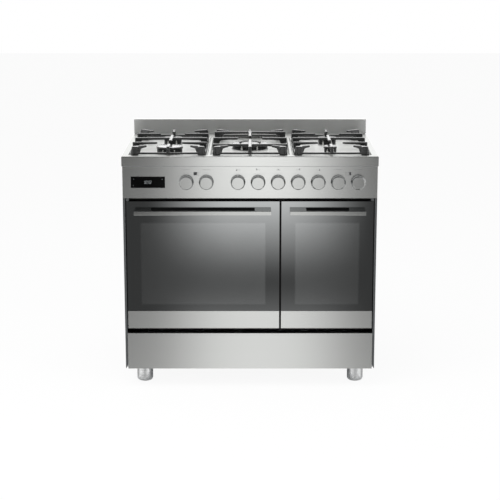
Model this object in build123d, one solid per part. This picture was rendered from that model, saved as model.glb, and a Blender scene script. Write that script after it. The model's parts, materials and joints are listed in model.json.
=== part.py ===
from build123d import *

import math
import os
from dataclasses import dataclass

# A free-standing range cooker: five gas burners, two ovens with drop doors, and a storage drawer.
# Millimetres. X is to the right seen from the front, Y to the back, Z up. The origin is on the floor
# under the middle of the outline. A depth is measured back from the face of the control panel.

# Height stack, from the floor up
base_height = 72.0
drawer_front_height = 132.0
drawer_slot = 19.0
door_height = 462.5
vent_slot = 11.5
fascia_height = 114.0
rim_height = 35.0
splash_height = 54.0

# Carcass
body_width = 896.0
body_depth = 600.0
back_recess = 38.0
side_sheet = 1.5
sheet = 1.2
side_flange = 8.0
side_flange_depth = 3.0
flange_slant = 16.0
fascia_return = 20.0
base_front = 22.0
flange_height = 20.0
screw_radius = 2.0
screw_head_radius = 4.5
screw_head = 1.6
screw_grip = 4.0
side_screws = 4
side_screw_rise = 78.0
side_screw_drop = 63.8
louvre_width = 48.0
louvre_height = 5.0
louvre_pitch = 70.0
louvre_drop = 20.0
air_slot = 50.0
air_pitch = 60.0
air_foot = 2.0
air_head = 3.0
frame_foot = 2.0
frame_head = 23.0

# Hob
hob_overhang = 2.0
hob_seat = 1.0
rim_radius = 4.0
well_depth = 8.0
well_margin = 7.0
well_corner = 16.0
well_taper = 25.0
splash_depth = 17.0

# Pan supports
support_side = 29.0
support_length = 452.0
support_gap = 22.0
support_front = 28.0
support_rise = 30.0
support_corner = 12.0
rail_width = 8.0
rail_lift = 2.0
rail_height = 7.0
bar_width = 11.5
finger_tip = 7.0
finger_heel = 10.0
finger_root = 18.0
finger_sweep = 8.0
corner_finger = 48.0
corner_slant = 1.6
leg_width = 28.0
leg_depth = 14.0
leg_chamfer = 8.0
leg_lean = 6.0
burner_pitch = 224.0
pan_clearance = 44.0
wok_bar_offset = 159.0

# Burners
large_crown = 45.5
medium_crown = 32.5
small_crown = 22.0
wok_crown = 64.0
crown_height = 16.0
wok_height = 10.0
crown_wall = 8.0
wok_wall = 9.0
wok_slot = 15.0
wok_ring = 6.0
wok_core = 32.0
wok_lap = 2.0
crown_floor = 4.0
port_width = 2.2
port_height = 4.5
port_drop = 2.0
port_overrun = 2.0
cap_height = 8.0
cap_overhang = 2.5
cup_depth = 36.0
cup_wall = 3.0
igniter_offset = 6.5
igniter_height = 9.0
igniter_tip = 6.0
spark_radius = 3.2
sensor_radius = 2.4
spark_wire = 1.2
sensor_wire = 1.6
spark_turn = -115.0
sensor_turn = -68.0

# Doors
side_gap = 12.0
door_gap = 7.0
main_door_width = 540.0
door_depth = 42.0
seal_depth = 5.0
seal_inside = 4.0
seal_outside = 12.0
glass = 4.0
trim_height = 63.5
trim_joint = 0.5
frame_inset = 3.0
frame_drop = 2.0
frame_gap = 2.0
pane_inset = 20.0
pane_foot = 22.0
pane_head = 16.0
window_side = 50.0
window_top = 77.0
window_bottom = 84.0
window_lap = 8.0
handle_reach = 42.0
handle_bar = 12.0
handle_height = 14.0
handle_end = 57.0
handle_inset = 30.0
handle_drop = 35.0
handle_round = 1.5

# Door hinges
pivot_depth = 22.0
pivot_rise = 12.0
pin_radius = 4.0
arm_thickness = 6.0
arm_play = 1.5
arm_height = 12.0
arm_eye = 8.0
arm_reach = 92.0
receiver_half = 10.0
receiver_lip = 4.0
hinge_inset = 24.0
cheek = 2.5
hinge_case_height = 104.0

# Ovens
cavity_side = 47.0
cavity_bottom_rise = 62.0
cavity_top_drop = 45.5
cavity_back = 478.0
cavity_corner = 18.0
cavity_flange = 10.0
insulation = 25.0
wire = 2.5
ladder_levels = 5
ladder_pitch = 60.0
ladder_start = 42.0
ladder_pair = 16.0
ladder_front = 75.0
ladder_gap = 53.0
ladder_foot = 25.0
ladder_head = 35.0
upright_inset = 20.0
shelf_level = 1
shelf_inset = 1.5
shelf_margin = 5.0
shelf_pitch = 26.0
thin_wire = 1.6
ladder_reach = 7.0
element_radius = 3.25
grill_inset = 52.0
grill_drop = 24.0
grill_front = 110.0
grill_setback = 80.0
grill_bend = 24.0
ring_clearance = 26.0
ring_standoff = 22.0
ring_gap = 12.0
fan_radius = 72.0
fan_root = 30.0
fan_hub = 12.0
fan_nose = 4.0
shaft_clearance = 2.0
fan_blade = 18.0
fan_plate = 1.5
fan_standoff = 6.0
fan_blades = 12
motor_flange = 46.0
motor_plate = 2.0
motor_clearance = 2.0
motor_radius = 30.0
motor_length = 58.0
motor_bore = 40.0
baffle_half = 142.0
baffle_depth = 42.0
grille_pitch = 16.0
grille_hole = 5.0
grille_rings = 4
baffle_slot = 18.0
baffle_slot_pitch = 30.0
baffle_slot_rows = 7
baffle_slot_depth = 12.0
baffle_slot_front = 14.0
lamp_radius = 24.0
lamp_dome = 9.0
lamp_round = 6.0
lamp_seat = 4.0
lamp_spigot = 14.0
lamp_inset = 42.0
lamp_drop = 72.0

# Controls
main_knob_inset = 224.5
last_knob_inset = 68.2
knob_break = 111.2
knob_skirt = 25.8
knob_rim = 2.5
knob_flare = 6.5
knob_neck = 9.5
knob_face = 21.5
knob_edge = 1.2
knob_mark = 1.2
mark_root = 2.0
knob_gap = 5.5
knob_length = 19.0
spindle_radius = 4.0
spindle_bore_depth = 15.0
spindle_clearance = 3.0
bore_end = 2.0
push_travel = 4.0
collar_depth = 11.0
collar_length = 2.0
collar_rise = 2.0
tap_half = 13.0
tap_front = 22.0
tap_reach = 16.0
tap_wall = 2.0
pipe_depth = 48.0
pipe_bend = 14.0
switch_half = 22.0
switch_front = 14.0
switch_back = 52.0
switch_neck = 10.0
tap_end = 40.0
display_inset = 90.0
display_width = 120.0
display_height = 40.0
display_glass = 1.2
display_works = 32.0
display_lap = 2.0

# Drawer
drawer_inset = 9.0
drawer_front_depth = 18.0
drawer_box_inset = 39.0
drawer_box_depth = 460.0
drawer_box_rise = 18.0
drawer_box_height = 95.0
runner_height = 27.0
runner_rise = 44.0
runner_width = 14.0
runner_front = 30.0
runner_lip = 3.0
channel = 2.0
channel_inset = 10.0
channel_setback = 22.0

# Feet
foot_radius = 29.0
foot_height = 62.0
foot_inset = 62.0
foot_front = 100.0
foot_back = 500.0
foot_round = 12.0
foot_lip = 1.5
flats_gap = 2.0
nut_height = 8.0
stud_rise = 12.0
stud_radius = 6.0
nut_radius = 11.0

# Supply connections at the back
inlet_inset = 30.0
inlet_radius = 10.48
inlet_length = 18.0
rail_radius = 9.0
rail_depth = 75.0
rail_bend = 30.0
rail_overrun = 45.0
inlet_stub = 16.0
inlet_bore = 36.0
tube_wall = 2.0
inlet_nut = 15.0
pipe_radius = 3.0
terminal_inset = 108.0
terminal_z = 300.0
terminal_half = 60.0
terminal_height = 90.0
terminal_depth = 27.0
terminal_screw = 68.0
terminal_ear = 18.0
ear_height = 24.0
wiring_hole = 30.0
cable_bore = 7.0
bush_wall = 3.0
bush_drop = 10.0
bush_grip = 6.0
restraint_spacing = 500.0
restraint_radius = 3.25

# Fits
running_fit = 0.05
loose_fit = 0.3
slide_fit = 0.4

# Levels and depths that follow from the sizes above
drawer_top = base_height + drawer_front_height
door_bottom = drawer_top + drawer_slot
door_top = door_bottom + door_height
fascia_bottom = door_top + vent_slot
fascia_top = fascia_bottom + fascia_height
hob_z = fascia_top + rim_height
hob_under = hob_z - sheet
carcass_top = hob_under - hob_seat
well_z = hob_z - well_depth
splash_top = hob_z + splash_height
knob_z = fascia_bottom + fascia_height / 2
pivot_z = door_bottom + pivot_rise
cavity_bottom = door_bottom + cavity_bottom_rise
cavity_top = door_top - cavity_top_drop
deck_top = cavity_bottom - sheet - insulation
frame_face = door_depth + seal_depth
frame_back = frame_face + side_sheet
back_face = body_depth - back_recess
fascia_y = (handle_reach - body_depth) / 2
half_width = body_width / 2
half_inside = half_width - side_sheet
half_hob = half_width + hob_overhang
support_width = (2 * half_hob - 2 * support_side - 2 * support_gap) / 3
support_pitch = support_width + support_gap
support_mid = support_front + support_length / 2
support_top = hob_z + support_rise
rail_bottom = hob_z + rail_lift
terminal_mid = terminal_z + terminal_height / 2
arm_slot = arm_thickness + 2 * arm_play
fan_z = (cavity_bottom + cavity_top) / 2
inlet_x = half_width - inlet_inset
terminal_x = terminal_inset - half_width
display_x = display_inset - half_width
drawer_width = body_width - 2 * drawer_inset
drawer_box_half = drawer_width / 2 - drawer_box_inset
ladder_back = cavity_back - ladder_gap


@dataclass(frozen=True)
class Oven:
    """One oven: the edges of its door, from which all its other widths follow."""
    name: str
    left: float
    right: float

    @property
    def middle(self):
        return (self.left + self.right) / 2

    @property
    def cavity(self):
        return self.left + cavity_side, self.right - cavity_side

    @property
    def hinges(self):
        return self.left + hinge_inset, self.right - hinge_inset


@dataclass(frozen=True)
class Burner:
    """One burner: which pan support it stands under, how far behind its middle, and its crown."""
    name: str
    column: int
    offset: float
    radius: float
    ports: int
    height: float = crown_height

    @property
    def x(self):
        return self.column * support_pitch

    @property
    def depth(self):
        return support_mid + self.offset

    @property
    def top(self):
        return well_z + self.height


main_left = side_gap - half_width
main_oven = Oven("main", main_left, main_left + main_door_width)
second_oven = Oven("second", main_oven.right + door_gap, half_width - side_gap)
ovens = [main_oven, second_oven]

burners = [
    Burner("left_front", -1, -burner_pitch / 2, large_crown, 28),
    Burner("left_rear", -1, burner_pitch / 2, medium_crown, 22),
    Burner("centre", 0, 0, wok_crown, 36, wok_height),
    Burner("right_rear", 1, burner_pitch / 2, medium_crown, 22),
    Burner("right_front", 1, -burner_pitch / 2, small_crown, 16),
]
main_knob_start = main_knob_inset - half_width
knob_pitch = (body_width - main_knob_inset - last_knob_inset - knob_break) / (len(burners) + 2)
second_knob_start = half_width - last_knob_inset - knob_pitch
gas_knob_start = second_knob_start - len(burners) * knob_pitch
gas_knob_x = [gas_knob_start + i * knob_pitch for i in range(len(burners))]
oven_knobs = {
    "main_function": main_knob_start,
    "main_temperature": main_knob_start + knob_pitch,
    "second_function": second_knob_start,
    "second_temperature": second_knob_start + knob_pitch,
}
foot_places = [(s * (half_width - foot_inset), d) for s in (-1, 1) for d in (foot_front, foot_back)]
side_screw_start = base_height + side_screw_rise
side_screw_pitch = (carcass_top - side_screw_drop - side_screw_start) / (side_screws - 1)
side_screw_z = [side_screw_start + i * side_screw_pitch for i in range(side_screws)]
side_screw_depth = back_face + sheet + flange_height / 2


def slab(x0, x1, d0, d1, z0, z1):
    """A box between two corners, given by its ends along X, depth and Z."""
    middle = Pos((x0 + x1) / 2, fascia_y + (d0 + d1) / 2, (z0 + z1) / 2)
    return middle * Box(x1 - x0, d1 - d0, z1 - z0)


def rod_x(x0, x1, d, z, r):
    """A round bar along X."""
    return Pos((x0 + x1) / 2, fascia_y + d, z) * Rot(0, 90, 0) * Cylinder(r, x1 - x0)


def rod_d(x, d0, d1, z, r):
    """A round bar along the depth."""
    return Pos(x, fascia_y + (d0 + d1) / 2, z) * Rot(90, 0, 0) * Cylinder(r, d1 - d0)


def rod_z(x, d, z0, z1, r):
    """An upright round bar."""
    return Pos(x, fascia_y + d, (z0 + z1) / 2) * Cylinder(r, z1 - z0)


def open_box(x0, x1, d0, d1, z0, z1, t, side):
    """A sheet-metal box of wall t with one side left open: front, back, top or bottom."""
    low = [x0 + t, d0 + t, z0 + t]
    high = [x1 - t, d1 - t, z1 - t]
    ends, axis, past = {
        "front": (low, 1, d0 - 1), "back": (high, 1, d1 + 1),
        "bottom": (low, 2, z0 - 1), "top": (high, 2, z1 + 1),
    }[side]
    ends[axis] = past
    inside = slab(low[0], high[0], low[1], high[1], low[2], high[2])
    return slab(x0, x1, d0, d1, z0, z1) - inside


def rounded_slab(x0, x1, d0, d1, z0, z1, r):
    """A box whose four edges along the depth are rounded."""
    return fillet(slab(x0, x1, d0, d1, z0, z1).edges().filter_by(Axis.Y), r)


def bent_rod(points, bend, r):
    """A round rod along a path of (x, depth, z) points, with its corners bent to a radius."""
    path = FilletPolyline(*[(x, fascia_y + d, z) for x, d, z in points], radius=bend)
    return sweep(Plane(path @ 0, z_dir=path % 0) * Circle(r), path)


def ring_slab(x0, x1, d0, d1, z0, z1, side, top, bottom):
    """A flat picture frame: a box with a window left open in its middle."""
    return slab(x0, x1, d0, d1, z0, z1) - slab(x0 + side, x1 - side, d0 - 1, d1 + 1, z0 + bottom, z1 - top)


def spun(profile, x, depth, z):
    """A turned piece with its axis along the depth; the profile lists (radius, depth) points."""
    face = make_face(Polyline(*profile, close=True))
    return Pos(x, fascia_y + depth, z) * revolve(face, Axis.Y)


def screw(x, d, z, direction, length):
    """A pan-head screw at a surface point, pointing into the surface."""
    up = (Align.CENTER, Align.CENTER, Align.MIN)
    down = (Align.CENTER, Align.CENTER, Align.MAX)
    head = Cone(screw_head_radius, screw_head_radius * 0.7, screw_head, align=up)
    shank = Cylinder(screw_radius - running_fit, length, align=down)
    return Plane((x, fascia_y + d, z), z_dir=direction) * (head + shank)


def side_panel():
    """The right-hand side: one sheet with a folded front edge whose lower end is cut on the slant."""
    fascia_clear = fascia_bottom - 1
    wall = slab(half_inside, half_width, fascia_return, body_depth - 2, base_height, carcass_top)
    wall += slab(half_inside, half_width, side_flange_depth, fascia_return, base_height, fascia_clear)
    fold = slab(half_width - side_flange, half_width, side_flange_depth, side_flange_depth + side_sheet,
                base_height, fascia_clear)
    inner = half_width - side_flange
    slant = Polyline((inner - 1, base_height - 1), (half_inside, base_height - 1), (half_inside, base_height),
                     (inner, base_height + flange_slant), (inner - 1, base_height + flange_slant), close=True)
    fold -= Pos(0, fascia_y + side_flange_depth + 5, 0) * extrude(Plane.XZ * make_face(slant), 10, both=True)
    panel = wall + fold
    for z in side_screw_z:
        panel -= rod_x(half_inside - 1, half_width + 1, side_screw_depth, z, screw_radius)
    front = fascia_y + side_flange_depth
    corner = [e for e in panel.edges().filter_by(Axis.Z)
              if abs(e.center().X - half_width) < 0.01 and abs(e.center().Y - front) < 0.01]
    return fillet(corner, side_sheet * 0.9)


def base_tray():
    """The floor of the carcass, folded up at the sides, front and back, with holes for the foot studs."""
    tray = open_box(-half_inside, half_inside, base_front, back_face, base_height,
                    base_height + flange_height, side_sheet, "top")
    tray -= slab(-half_inside + side_sheet, half_inside - side_sheet, base_front - 1, base_front + side_sheet,
                 base_height + flange_height / 2, base_height + flange_height + 1)
    for x, d in foot_places:
        tray -= rod_z(x, d, base_height - 1, base_height + side_sheet + 1, stud_radius + loose_fit)
    return tray


def oven_deck():
    """The shelf that carries both ovens, folded down along the sides."""
    return open_box(-half_inside, half_inside, frame_back, back_face, deck_top - flange_height, deck_top,
                    sheet, "bottom") - slab(-half_inside + sheet, half_inside - sheet, frame_back - 1,
                                            back_face + 1, deck_top - flange_height - 1, deck_top - sheet)


def back_panel():
    """The back, set in from the rear edge, with folded sides, louvres and holes for the supplies."""
    panel = slab(-half_inside, half_inside, back_face, back_face + sheet, base_height, carcass_top)
    for s in (-1, 1):
        edge = sorted((s * half_inside, s * (half_inside - sheet)))
        fold = slab(*edge, back_face + sheet, back_face + sheet + flange_height, base_height, carcass_top)
        for z in side_screw_z:
            fold -= rod_x(edge[0] - 1, edge[1] + 1, side_screw_depth, z, screw_radius)
        panel += fold
        panel -= rod_d(s * restraint_spacing / 2, back_face - 1, back_face + sheet + 1, knob_z,
                       restraint_radius)
        panel -= rod_d(terminal_x + s * terminal_screw, back_face - 1, back_face + sheet + 1, terminal_mid,
                       screw_radius)
    for column in range(-3, 4):
        for row in range(1, 4):
            x, z = column * louvre_pitch, fascia_bottom - row * louvre_drop
            panel -= slab(x - louvre_width / 2, x + louvre_width / 2, back_face - 1, back_face + sheet + 1,
                          z - louvre_height / 2, z + louvre_height / 2)
    panel -= rod_d(inlet_x, back_face - 1, back_face + sheet + 1, knob_z, rail_radius + loose_fit)
    return panel - slab(terminal_x - wiring_hole, terminal_x + wiring_hole, back_face - 1,
                        back_face + sheet + 1, terminal_mid - wiring_hole / 2, terminal_mid + wiring_hole / 2)


def front_frame():
    """The black face behind the doors, with the two oven mouths, air slots and slots for the hinge arms."""
    frame = slab(-half_inside, half_inside, frame_face, frame_back, drawer_top + frame_foot,
                 fascia_bottom + frame_head)
    for oven in ovens:
        x0, x1 = oven.cavity
        frame -= rounded_slab(x0, x1, frame_face - 1, frame_back + 1, cavity_bottom, cavity_top,
                              cavity_corner)
        for x in oven.hinges:
            frame -= slab(x - arm_slot / 2, x + arm_slot / 2, frame_face - 1, frame_back + 1,
                          pivot_z - arm_eye, pivot_z + arm_eye)
    count = int(half_inside // air_pitch)
    for i in range(2 * count):
        x = (i + 0.5 - count) * air_pitch
        frame -= slab(x - air_slot / 2, x + air_slot / 2, frame_face - 1, frame_back + 1,
                      door_top + air_foot, fascia_bottom - air_head)
    return frame


def hob_top():
    """The pressed hob: a tray turned over, with a rolled rim, three wells and a hole under each burner."""
    hob = slab(-half_hob, half_hob, -hob_overhang, body_depth, fascia_top, hob_z)
    inside = slab(-half_hob + sheet, half_hob - sheet, sheet - hob_overhang, body_depth - sheet,
                  fascia_top - 1, hob_under)
    rear = fascia_y + body_depth - sheet - 1
    hob = fillet([e for e in hob.edges().group_by(Axis.Z)[-1] if e.center().Y < rear], rim_radius)
    ceiling = [e for e in inside.edges().group_by(Axis.Z)[-1] if e.center().Y < rear]
    hob -= fillet(ceiling, rim_radius - sheet)
    width = support_width + 2 * well_margin
    length = support_length + 2 * well_margin
    for column in (-1, 0, 1):
        place = Pos(column * support_pitch, fascia_y + support_mid, hob_z)
        outside = RectangleRounded(width + 2 * sheet, length + 2 * sheet, well_corner + sheet)
        hob += place * extrude(outside, -well_depth - sheet, taper=well_taper)
    for column in (-1, 0, 1):
        place = Pos(column * support_pitch, fascia_y + support_mid, hob_z)
        hob -= place * extrude(RectangleRounded(width, length, well_corner), -well_depth, taper=well_taper)
    for burner in burners:
        hob -= rod_z(burner.x, burner.depth, well_z - sheet - 1, well_z + 1, burner.radius - cup_wall * 4)
    return hob


def splashback():
    """The upstand at the back of the hob."""
    return open_box(-half_hob, half_hob, body_depth - splash_depth, body_depth, hob_z, splash_top, sheet,
                    "bottom")


def control_panel():
    """The fascia: a folded sheet with a window for the clock and a hole for each spindle."""
    panel = open_box(-half_width, half_width, 0, fascia_return, fascia_bottom, fascia_top, sheet, "back")
    ends = [e for e in panel.edges().filter_by(Axis.Z)
            if abs(abs(e.center().X) - half_width) < 0.01 and abs(e.center().Y - fascia_y) < 0.01]
    panel = fillet(ends, sheet * 0.9)
    half = display_width / 2 - display_lap
    tall = display_height / 2 - display_lap
    panel -= slab(display_x - half, display_x + half, -1, sheet + 1, knob_z - tall, knob_z + tall)
    for x in gas_knob_x + list(oven_knobs.values()):
        panel -= rod_d(x, -1, sheet + 1, knob_z, spindle_radius + spindle_clearance)
    return panel


def clock_display():
    """The clock: a glass front over the fascia and its works behind."""
    front = slab(display_x - display_width / 2, display_x + display_width / 2, -display_glass, 0,
                 knob_z - display_height / 2, knob_z + display_height / 2)
    half = display_width / 2 - display_lap - loose_fit
    tall = display_height / 2 - display_lap - loose_fit
    return [front, slab(display_x - half, display_x + half, 0, display_works, knob_z - tall, knob_z + tall)]


def gas_rail():
    """The supply: inlet and rail in one bent tube, a tap behind each gas knob, and a pipe to each burner."""
    end = back_face + inlet_stub
    run = [(gas_knob_x[0] - rail_overrun, rail_depth, knob_z), (inlet_x, rail_depth, knob_z),
           (inlet_x, end, knob_z)]
    tube = bent_rod(run, rail_bend, rail_radius)
    flats = extrude(RegularPolygon(inlet_nut, 6), inlet_nut / 3)
    nut = Pos(inlet_x, fascia_y + end - inlet_nut / 3, knob_z) * Rot(90, 0, 0) * flats
    thread = rod_d(inlet_x, end - 0.1, end + inlet_length, knob_z, inlet_radius)
    bore = rod_d(inlet_x, end - inlet_bore, end + inlet_length + 1, knob_z, rail_radius - tube_wall)
    pieces = [tube + nut + thread - bore]
    for x, burner in zip(gas_knob_x, burners):
        body = slab(x - tap_half, x + tap_half, tap_front, rail_depth, knob_z - tap_reach, knob_z + tap_reach)
        body -= rod_x(x - tap_half - 1, x + tap_half + 1, rail_depth, knob_z, rail_radius + running_fit)
        neck = spindle_radius + spindle_clearance
        body += rod_d(x, sheet, tap_front, knob_z, neck + tap_wall)
        body -= rod_d(x, 0, tap_front, knob_z, neck)
        body -= rod_d(x, tap_front - 1, tap_end + bore_end, knob_z, spindle_radius + running_fit)
        pieces.append(body)
        level = well_z - sheet - cup_depth / 2
        away = math.atan2(burner.depth - pipe_depth, burner.x - x)
        reach = burner.radius - cup_wall + slide_fit
        stop = (burner.x - reach * math.cos(away), burner.depth - reach * math.sin(away), level)
        route = [(x, pipe_depth, knob_z + tap_reach), (x, pipe_depth, level), stop]
        pieces.append(bent_rod(route, pipe_bend, pipe_radius))
    return pieces


def burner_bodies():
    """For each burner, a cup clamped under the hob and a ported crown on top of it."""
    pieces = []
    for b in burners:
        floor = well_z - sheet
        r = b.radius - cup_wall
        pieces.append(rod_z(b.x, b.depth, floor - cup_depth, floor, r)
                      - rod_z(b.x, b.depth, floor - cup_depth + cup_wall, floor + 1, r - cup_wall))
        crown = rod_z(b.x, b.depth, well_z, b.top, b.radius)
        if b.radius == wok_crown:
            crown -= rod_z(b.x, b.depth, well_z + crown_floor, b.top + 1, b.radius - wok_wall)
            rings = ((wok_slot, wok_slot + wok_ring), (wok_core, wok_core + crown_wall))
            for outer, inner in [(b.radius - near, b.radius - far) for near, far in rings]:
                crown += (rod_z(b.x, b.depth, well_z + crown_floor - 1, b.top, outer)
                          - rod_z(b.x, b.depth, well_z + crown_floor - 1, b.top + 1, inner))
        else:
            crown -= rod_z(b.x, b.depth, well_z + crown_floor, b.top + 1, b.radius - crown_wall)
        port = Box(crown_wall + 2 * port_overrun, port_width, port_height)
        crown -= [Pos(b.x, fascia_y + b.depth, b.top - port_drop) * Rot(0, 0, 360 * i / b.ports)
                  * Pos(b.radius - crown_wall / 2, 0, 0) * port for i in range(b.ports)]
        pieces.append(crown)
    return pieces


def domed(x, depth, z, r, height):
    """A burner cap: a disc with a rolled top edge."""
    disc = rod_z(x, depth, z, z + height, r)
    return fillet(disc.edges().group_by(Axis.Z)[-1], height * 0.55)


def burner_caps():
    """The loose caps. The middle burner has a ring cap and a small inner one."""
    pieces = []
    for b in burners:
        cap = domed(b.x, b.depth, b.top, b.radius + cap_overhang, cap_height)
        if b.radius == wok_crown:
            hole = b.radius - wok_slot - wok_ring - wok_lap
            cap -= rod_z(b.x, b.depth, well_z, support_top, hole)
            core = b.radius - wok_core + wok_lap
            pieces.append(domed(b.x, b.depth, b.top, core, cap_height))
        pieces.append(cap)
    return pieces


def igniters():
    """A spark electrode and a flame sensor beside each crown."""
    pieces = []
    for b in burners:
        for angle, r, tip in ((spark_turn, spark_radius, spark_wire),
                              (sensor_turn, sensor_radius, sensor_wire)):
            turn = math.radians(angle)
            x = b.x + (b.radius + igniter_offset) * math.cos(turn)
            d = b.depth + (b.radius + igniter_offset) * math.sin(turn)
            neck = well_z + igniter_height
            pieces.append(rod_z(x, d, well_z, neck, r) + rod_z(x, d, neck, neck + igniter_tip, tip))
    return pieces


def finger(x, depth, heading, length):
    """A post on the rail with a slim arm at its top, pointing along a heading seen from above."""
    side = Polyline((0, rail_bottom), (0, support_top), (length, support_top),
                    (length, support_top - finger_tip),
                    (finger_root + finger_sweep, support_top - finger_heel),
                    (finger_root, rail_bottom), close=True)
    bar = extrude(Plane.XZ * make_face(side), bar_width / 2, both=True)
    bar = fillet(bar.edges().filter_by(Axis.X).group_by(Axis.Z)[-1], bar_width * 0.2)
    return Pos(x, fascia_y + depth, 0) * Rot(0, 0, heading) * bar


def corner_leg(x, depth, outward):
    """One leg of a pan support: its outer side leans in towards the top, and its toe is cut off."""
    side = Polyline((leg_chamfer, well_z), (0, well_z + leg_chamfer), (leg_lean, support_top),
                    (leg_width, support_top), (leg_width, well_z), close=True)
    post = extrude(Plane.XZ * make_face(side), leg_depth / 2, both=True)
    return Pos(x, fascia_y + depth, 0) * Rot(0, 0, 180 if outward > 0 else 0) * post


def pan_support(column):
    """One cast pan support: a low rail, a leg at each corner, and fingers to hold a pan over each burner."""
    middle = column * support_pitch
    place = Pos(middle, fascia_y + support_mid, 0)
    outline = RectangleRounded(support_width, support_length, support_corner)
    opening = RectangleRounded(support_width - 2 * rail_width, support_length - 2 * rail_width,
                               support_corner - rail_width / 2)
    rail = place * Pos(0, 0, rail_bottom) * extrude(outline - opening, rail_height)
    half_w = support_width / 2
    half_l = support_length / 2
    front, back = support_mid - half_l, support_mid + half_l
    bars = []
    for sx in (-1, 1):
        for sd in (-1, 1):
            x, d = middle + sx * half_w, support_mid + sd * half_l
            leg = corner_leg(x, d - sd * leg_depth / 2, sx)
            bars.append(leg & (place * Pos(0, 0, well_z) * extrude(outline, support_top - well_z)))
            heading = math.degrees(math.atan2(-sd, -sx * corner_slant))
            bars.append(finger(x - sx * leg_width / 2, d - sd * bar_width, heading, corner_finger))
    side_reach = half_w - pan_clearance
    if column:
        rows = {support_mid - burner_pitch / 2: side_reach, support_mid: half_w + 2,
                support_mid + burner_pitch / 2: side_reach}
        end_reach = half_l - burner_pitch / 2 - pan_clearance
        bridge = burner_pitch / 2 - pan_clearance
        bars.append(slab(middle - bar_width / 2, middle + bar_width / 2, support_mid - bridge,
                         support_mid + bridge, support_top - finger_tip, support_top))
    else:
        rows = {support_mid - wok_bar_offset: half_w + 2, support_mid: side_reach,
                support_mid + wok_bar_offset: half_w + 2}
        end_reach = half_l - pan_clearance
    for depth, reach in rows.items():
        bars.append(finger(middle - half_w, depth, 0, reach))
        bars.append(finger(middle + half_w, depth, 180, reach))
    bars.append(finger(middle, front, 90, end_reach))
    bars.append(finger(middle, back, -90, end_reach))
    return rail + bars


def cavity(oven):
    """The enamelled oven box, open at the front with a flange, and holes in its back wall."""
    x0, x1 = oven.cavity
    box = rounded_slab(x0 - sheet, x1 + sheet, frame_back, cavity_back + sheet, cavity_bottom - sheet,
                       cavity_top + sheet, cavity_corner + sheet)
    box += slab(x0 - cavity_flange, x1 + cavity_flange, frame_back, frame_back + sheet,
                cavity_bottom - cavity_flange, cavity_top + cavity_flange)
    box -= rounded_slab(x0, x1, frame_back - 1, cavity_back, cavity_bottom, cavity_top, cavity_corner)
    for x, z in lamp_places(oven):
        box -= rod_d(x, cavity_back - 1, cavity_back + sheet + 1, z, lamp_radius - lamp_seat)
    if oven is main_oven:
        box -= rod_d(oven.middle, cavity_back - 1, cavity_back + sheet + 1, fan_z,
                     spindle_radius + shaft_clearance)
    return box


def lamp_places(oven):
    """Where the lamps sit on the back wall: two in the large oven, one in the small one."""
    x0, x1 = oven.cavity
    z = cavity_top - lamp_drop
    if oven is main_oven:
        return [(x0 + lamp_inset, z), (x1 - lamp_inset, z)]
    return [(x0 + lamp_inset, z)]


def lamp_lenses():
    """Glass covers over the lamps, each with a spigot through the back wall."""
    pieces = []
    for oven in ovens:
        for x, z in lamp_places(oven):
            disc = rod_d(x, cavity_back - lamp_dome, cavity_back, z, lamp_radius)
            disc = fillet(disc.edges().group_by(Axis.Y)[0], lamp_round)
            pieces.append(disc + rod_d(x, cavity_back - 1, cavity_back + lamp_spigot, z,
                                       lamp_radius - lamp_seat - loose_fit))
    return pieces


def oven_insulation(oven):
    """The blanket round an oven, with a hole at the back for the fan motor or the lamp."""
    x0, x1 = oven.cavity
    gap = sheet + insulation
    blanket = slab(x0 - gap, x1 + gap, frame_back + sheet, cavity_back + gap, deck_top, cavity_top + gap)
    blanket -= slab(x0 - sheet, x1 + sheet, frame_back, cavity_back + sheet, cavity_bottom - sheet,
                    cavity_top + sheet)
    for x, z in lamp_places(oven):
        blanket -= rod_d(x, cavity_back, cavity_back + gap + 1, z, lamp_radius)
    if oven is main_oven:
        blanket -= rod_d(oven.middle, cavity_back, cavity_back + gap + 1, fan_z,
                         motor_flange + motor_clearance)
    return blanket


def door_seal(oven):
    """The soft frame between the oven mouth and the door."""
    x0, x1 = oven.cavity
    near, far = seal_inside, seal_outside
    outer = rounded_slab(x0 - far, x1 + far, door_depth + slide_fit, frame_face, cavity_bottom - far,
                         cavity_top + far, cavity_corner + far)
    return outer - rounded_slab(x0 - near, x1 + near, door_depth - 1, frame_face + 1, cavity_bottom - near,
                                cavity_top + near, cavity_corner + near)


def shelf_ladders(oven):
    """The wire side racks: two uprights against each wall, and pairs of rails for the shelves."""
    pieces = []
    for wall, s in ((oven.cavity[0], 1), (oven.cavity[1], -1)):
        upright_x = wall + s * (wire + loose_fit)
        rail_x = wall + s * ladder_reach
        ladder = [rod_z(upright_x, d, cavity_bottom + ladder_foot, cavity_top - ladder_head, wire)
                  for d in (ladder_front + upright_inset, ladder_back - upright_inset)]
        for i in range(ladder_levels):
            for z in (ladder_z(i), ladder_z(i) + ladder_pair):
                ladder.append(rod_d(rail_x, ladder_front, ladder_back, z, wire))
        pieces.append(ladder[0] + ladder[1:])
    return pieces


def ladder_z(level):
    """The height of the lower wire of one pair of rails."""
    return cavity_bottom + ladder_start + level * ladder_pitch


def oven_shelf(oven):
    """A wire shelf resting on one pair of rails."""
    offset = ladder_reach + shelf_inset
    x0, x1 = oven.cavity[0] + offset, oven.cavity[1] - offset
    z = ladder_z(shelf_level) + math.sqrt((2 * wire) ** 2 - shelf_inset ** 2) + running_fit
    front, back = ladder_front + shelf_margin, ladder_back - shelf_margin
    wires = [rod_d(x, front - wire, back + wire, z, wire) for x in (x0, x1)]
    wires += [rod_x(x0, x1, d, z, wire * 0.85) for d in (front, back)]
    count = round((x1 - x0) / shelf_pitch)
    raised = z + wire - thin_wire - loose_fit
    wires += [rod_d(x0 + (x1 - x0) * i / count, front, back, raised, thin_wire) for i in range(1, count)]
    return wires[0] + wires[1:]


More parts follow.
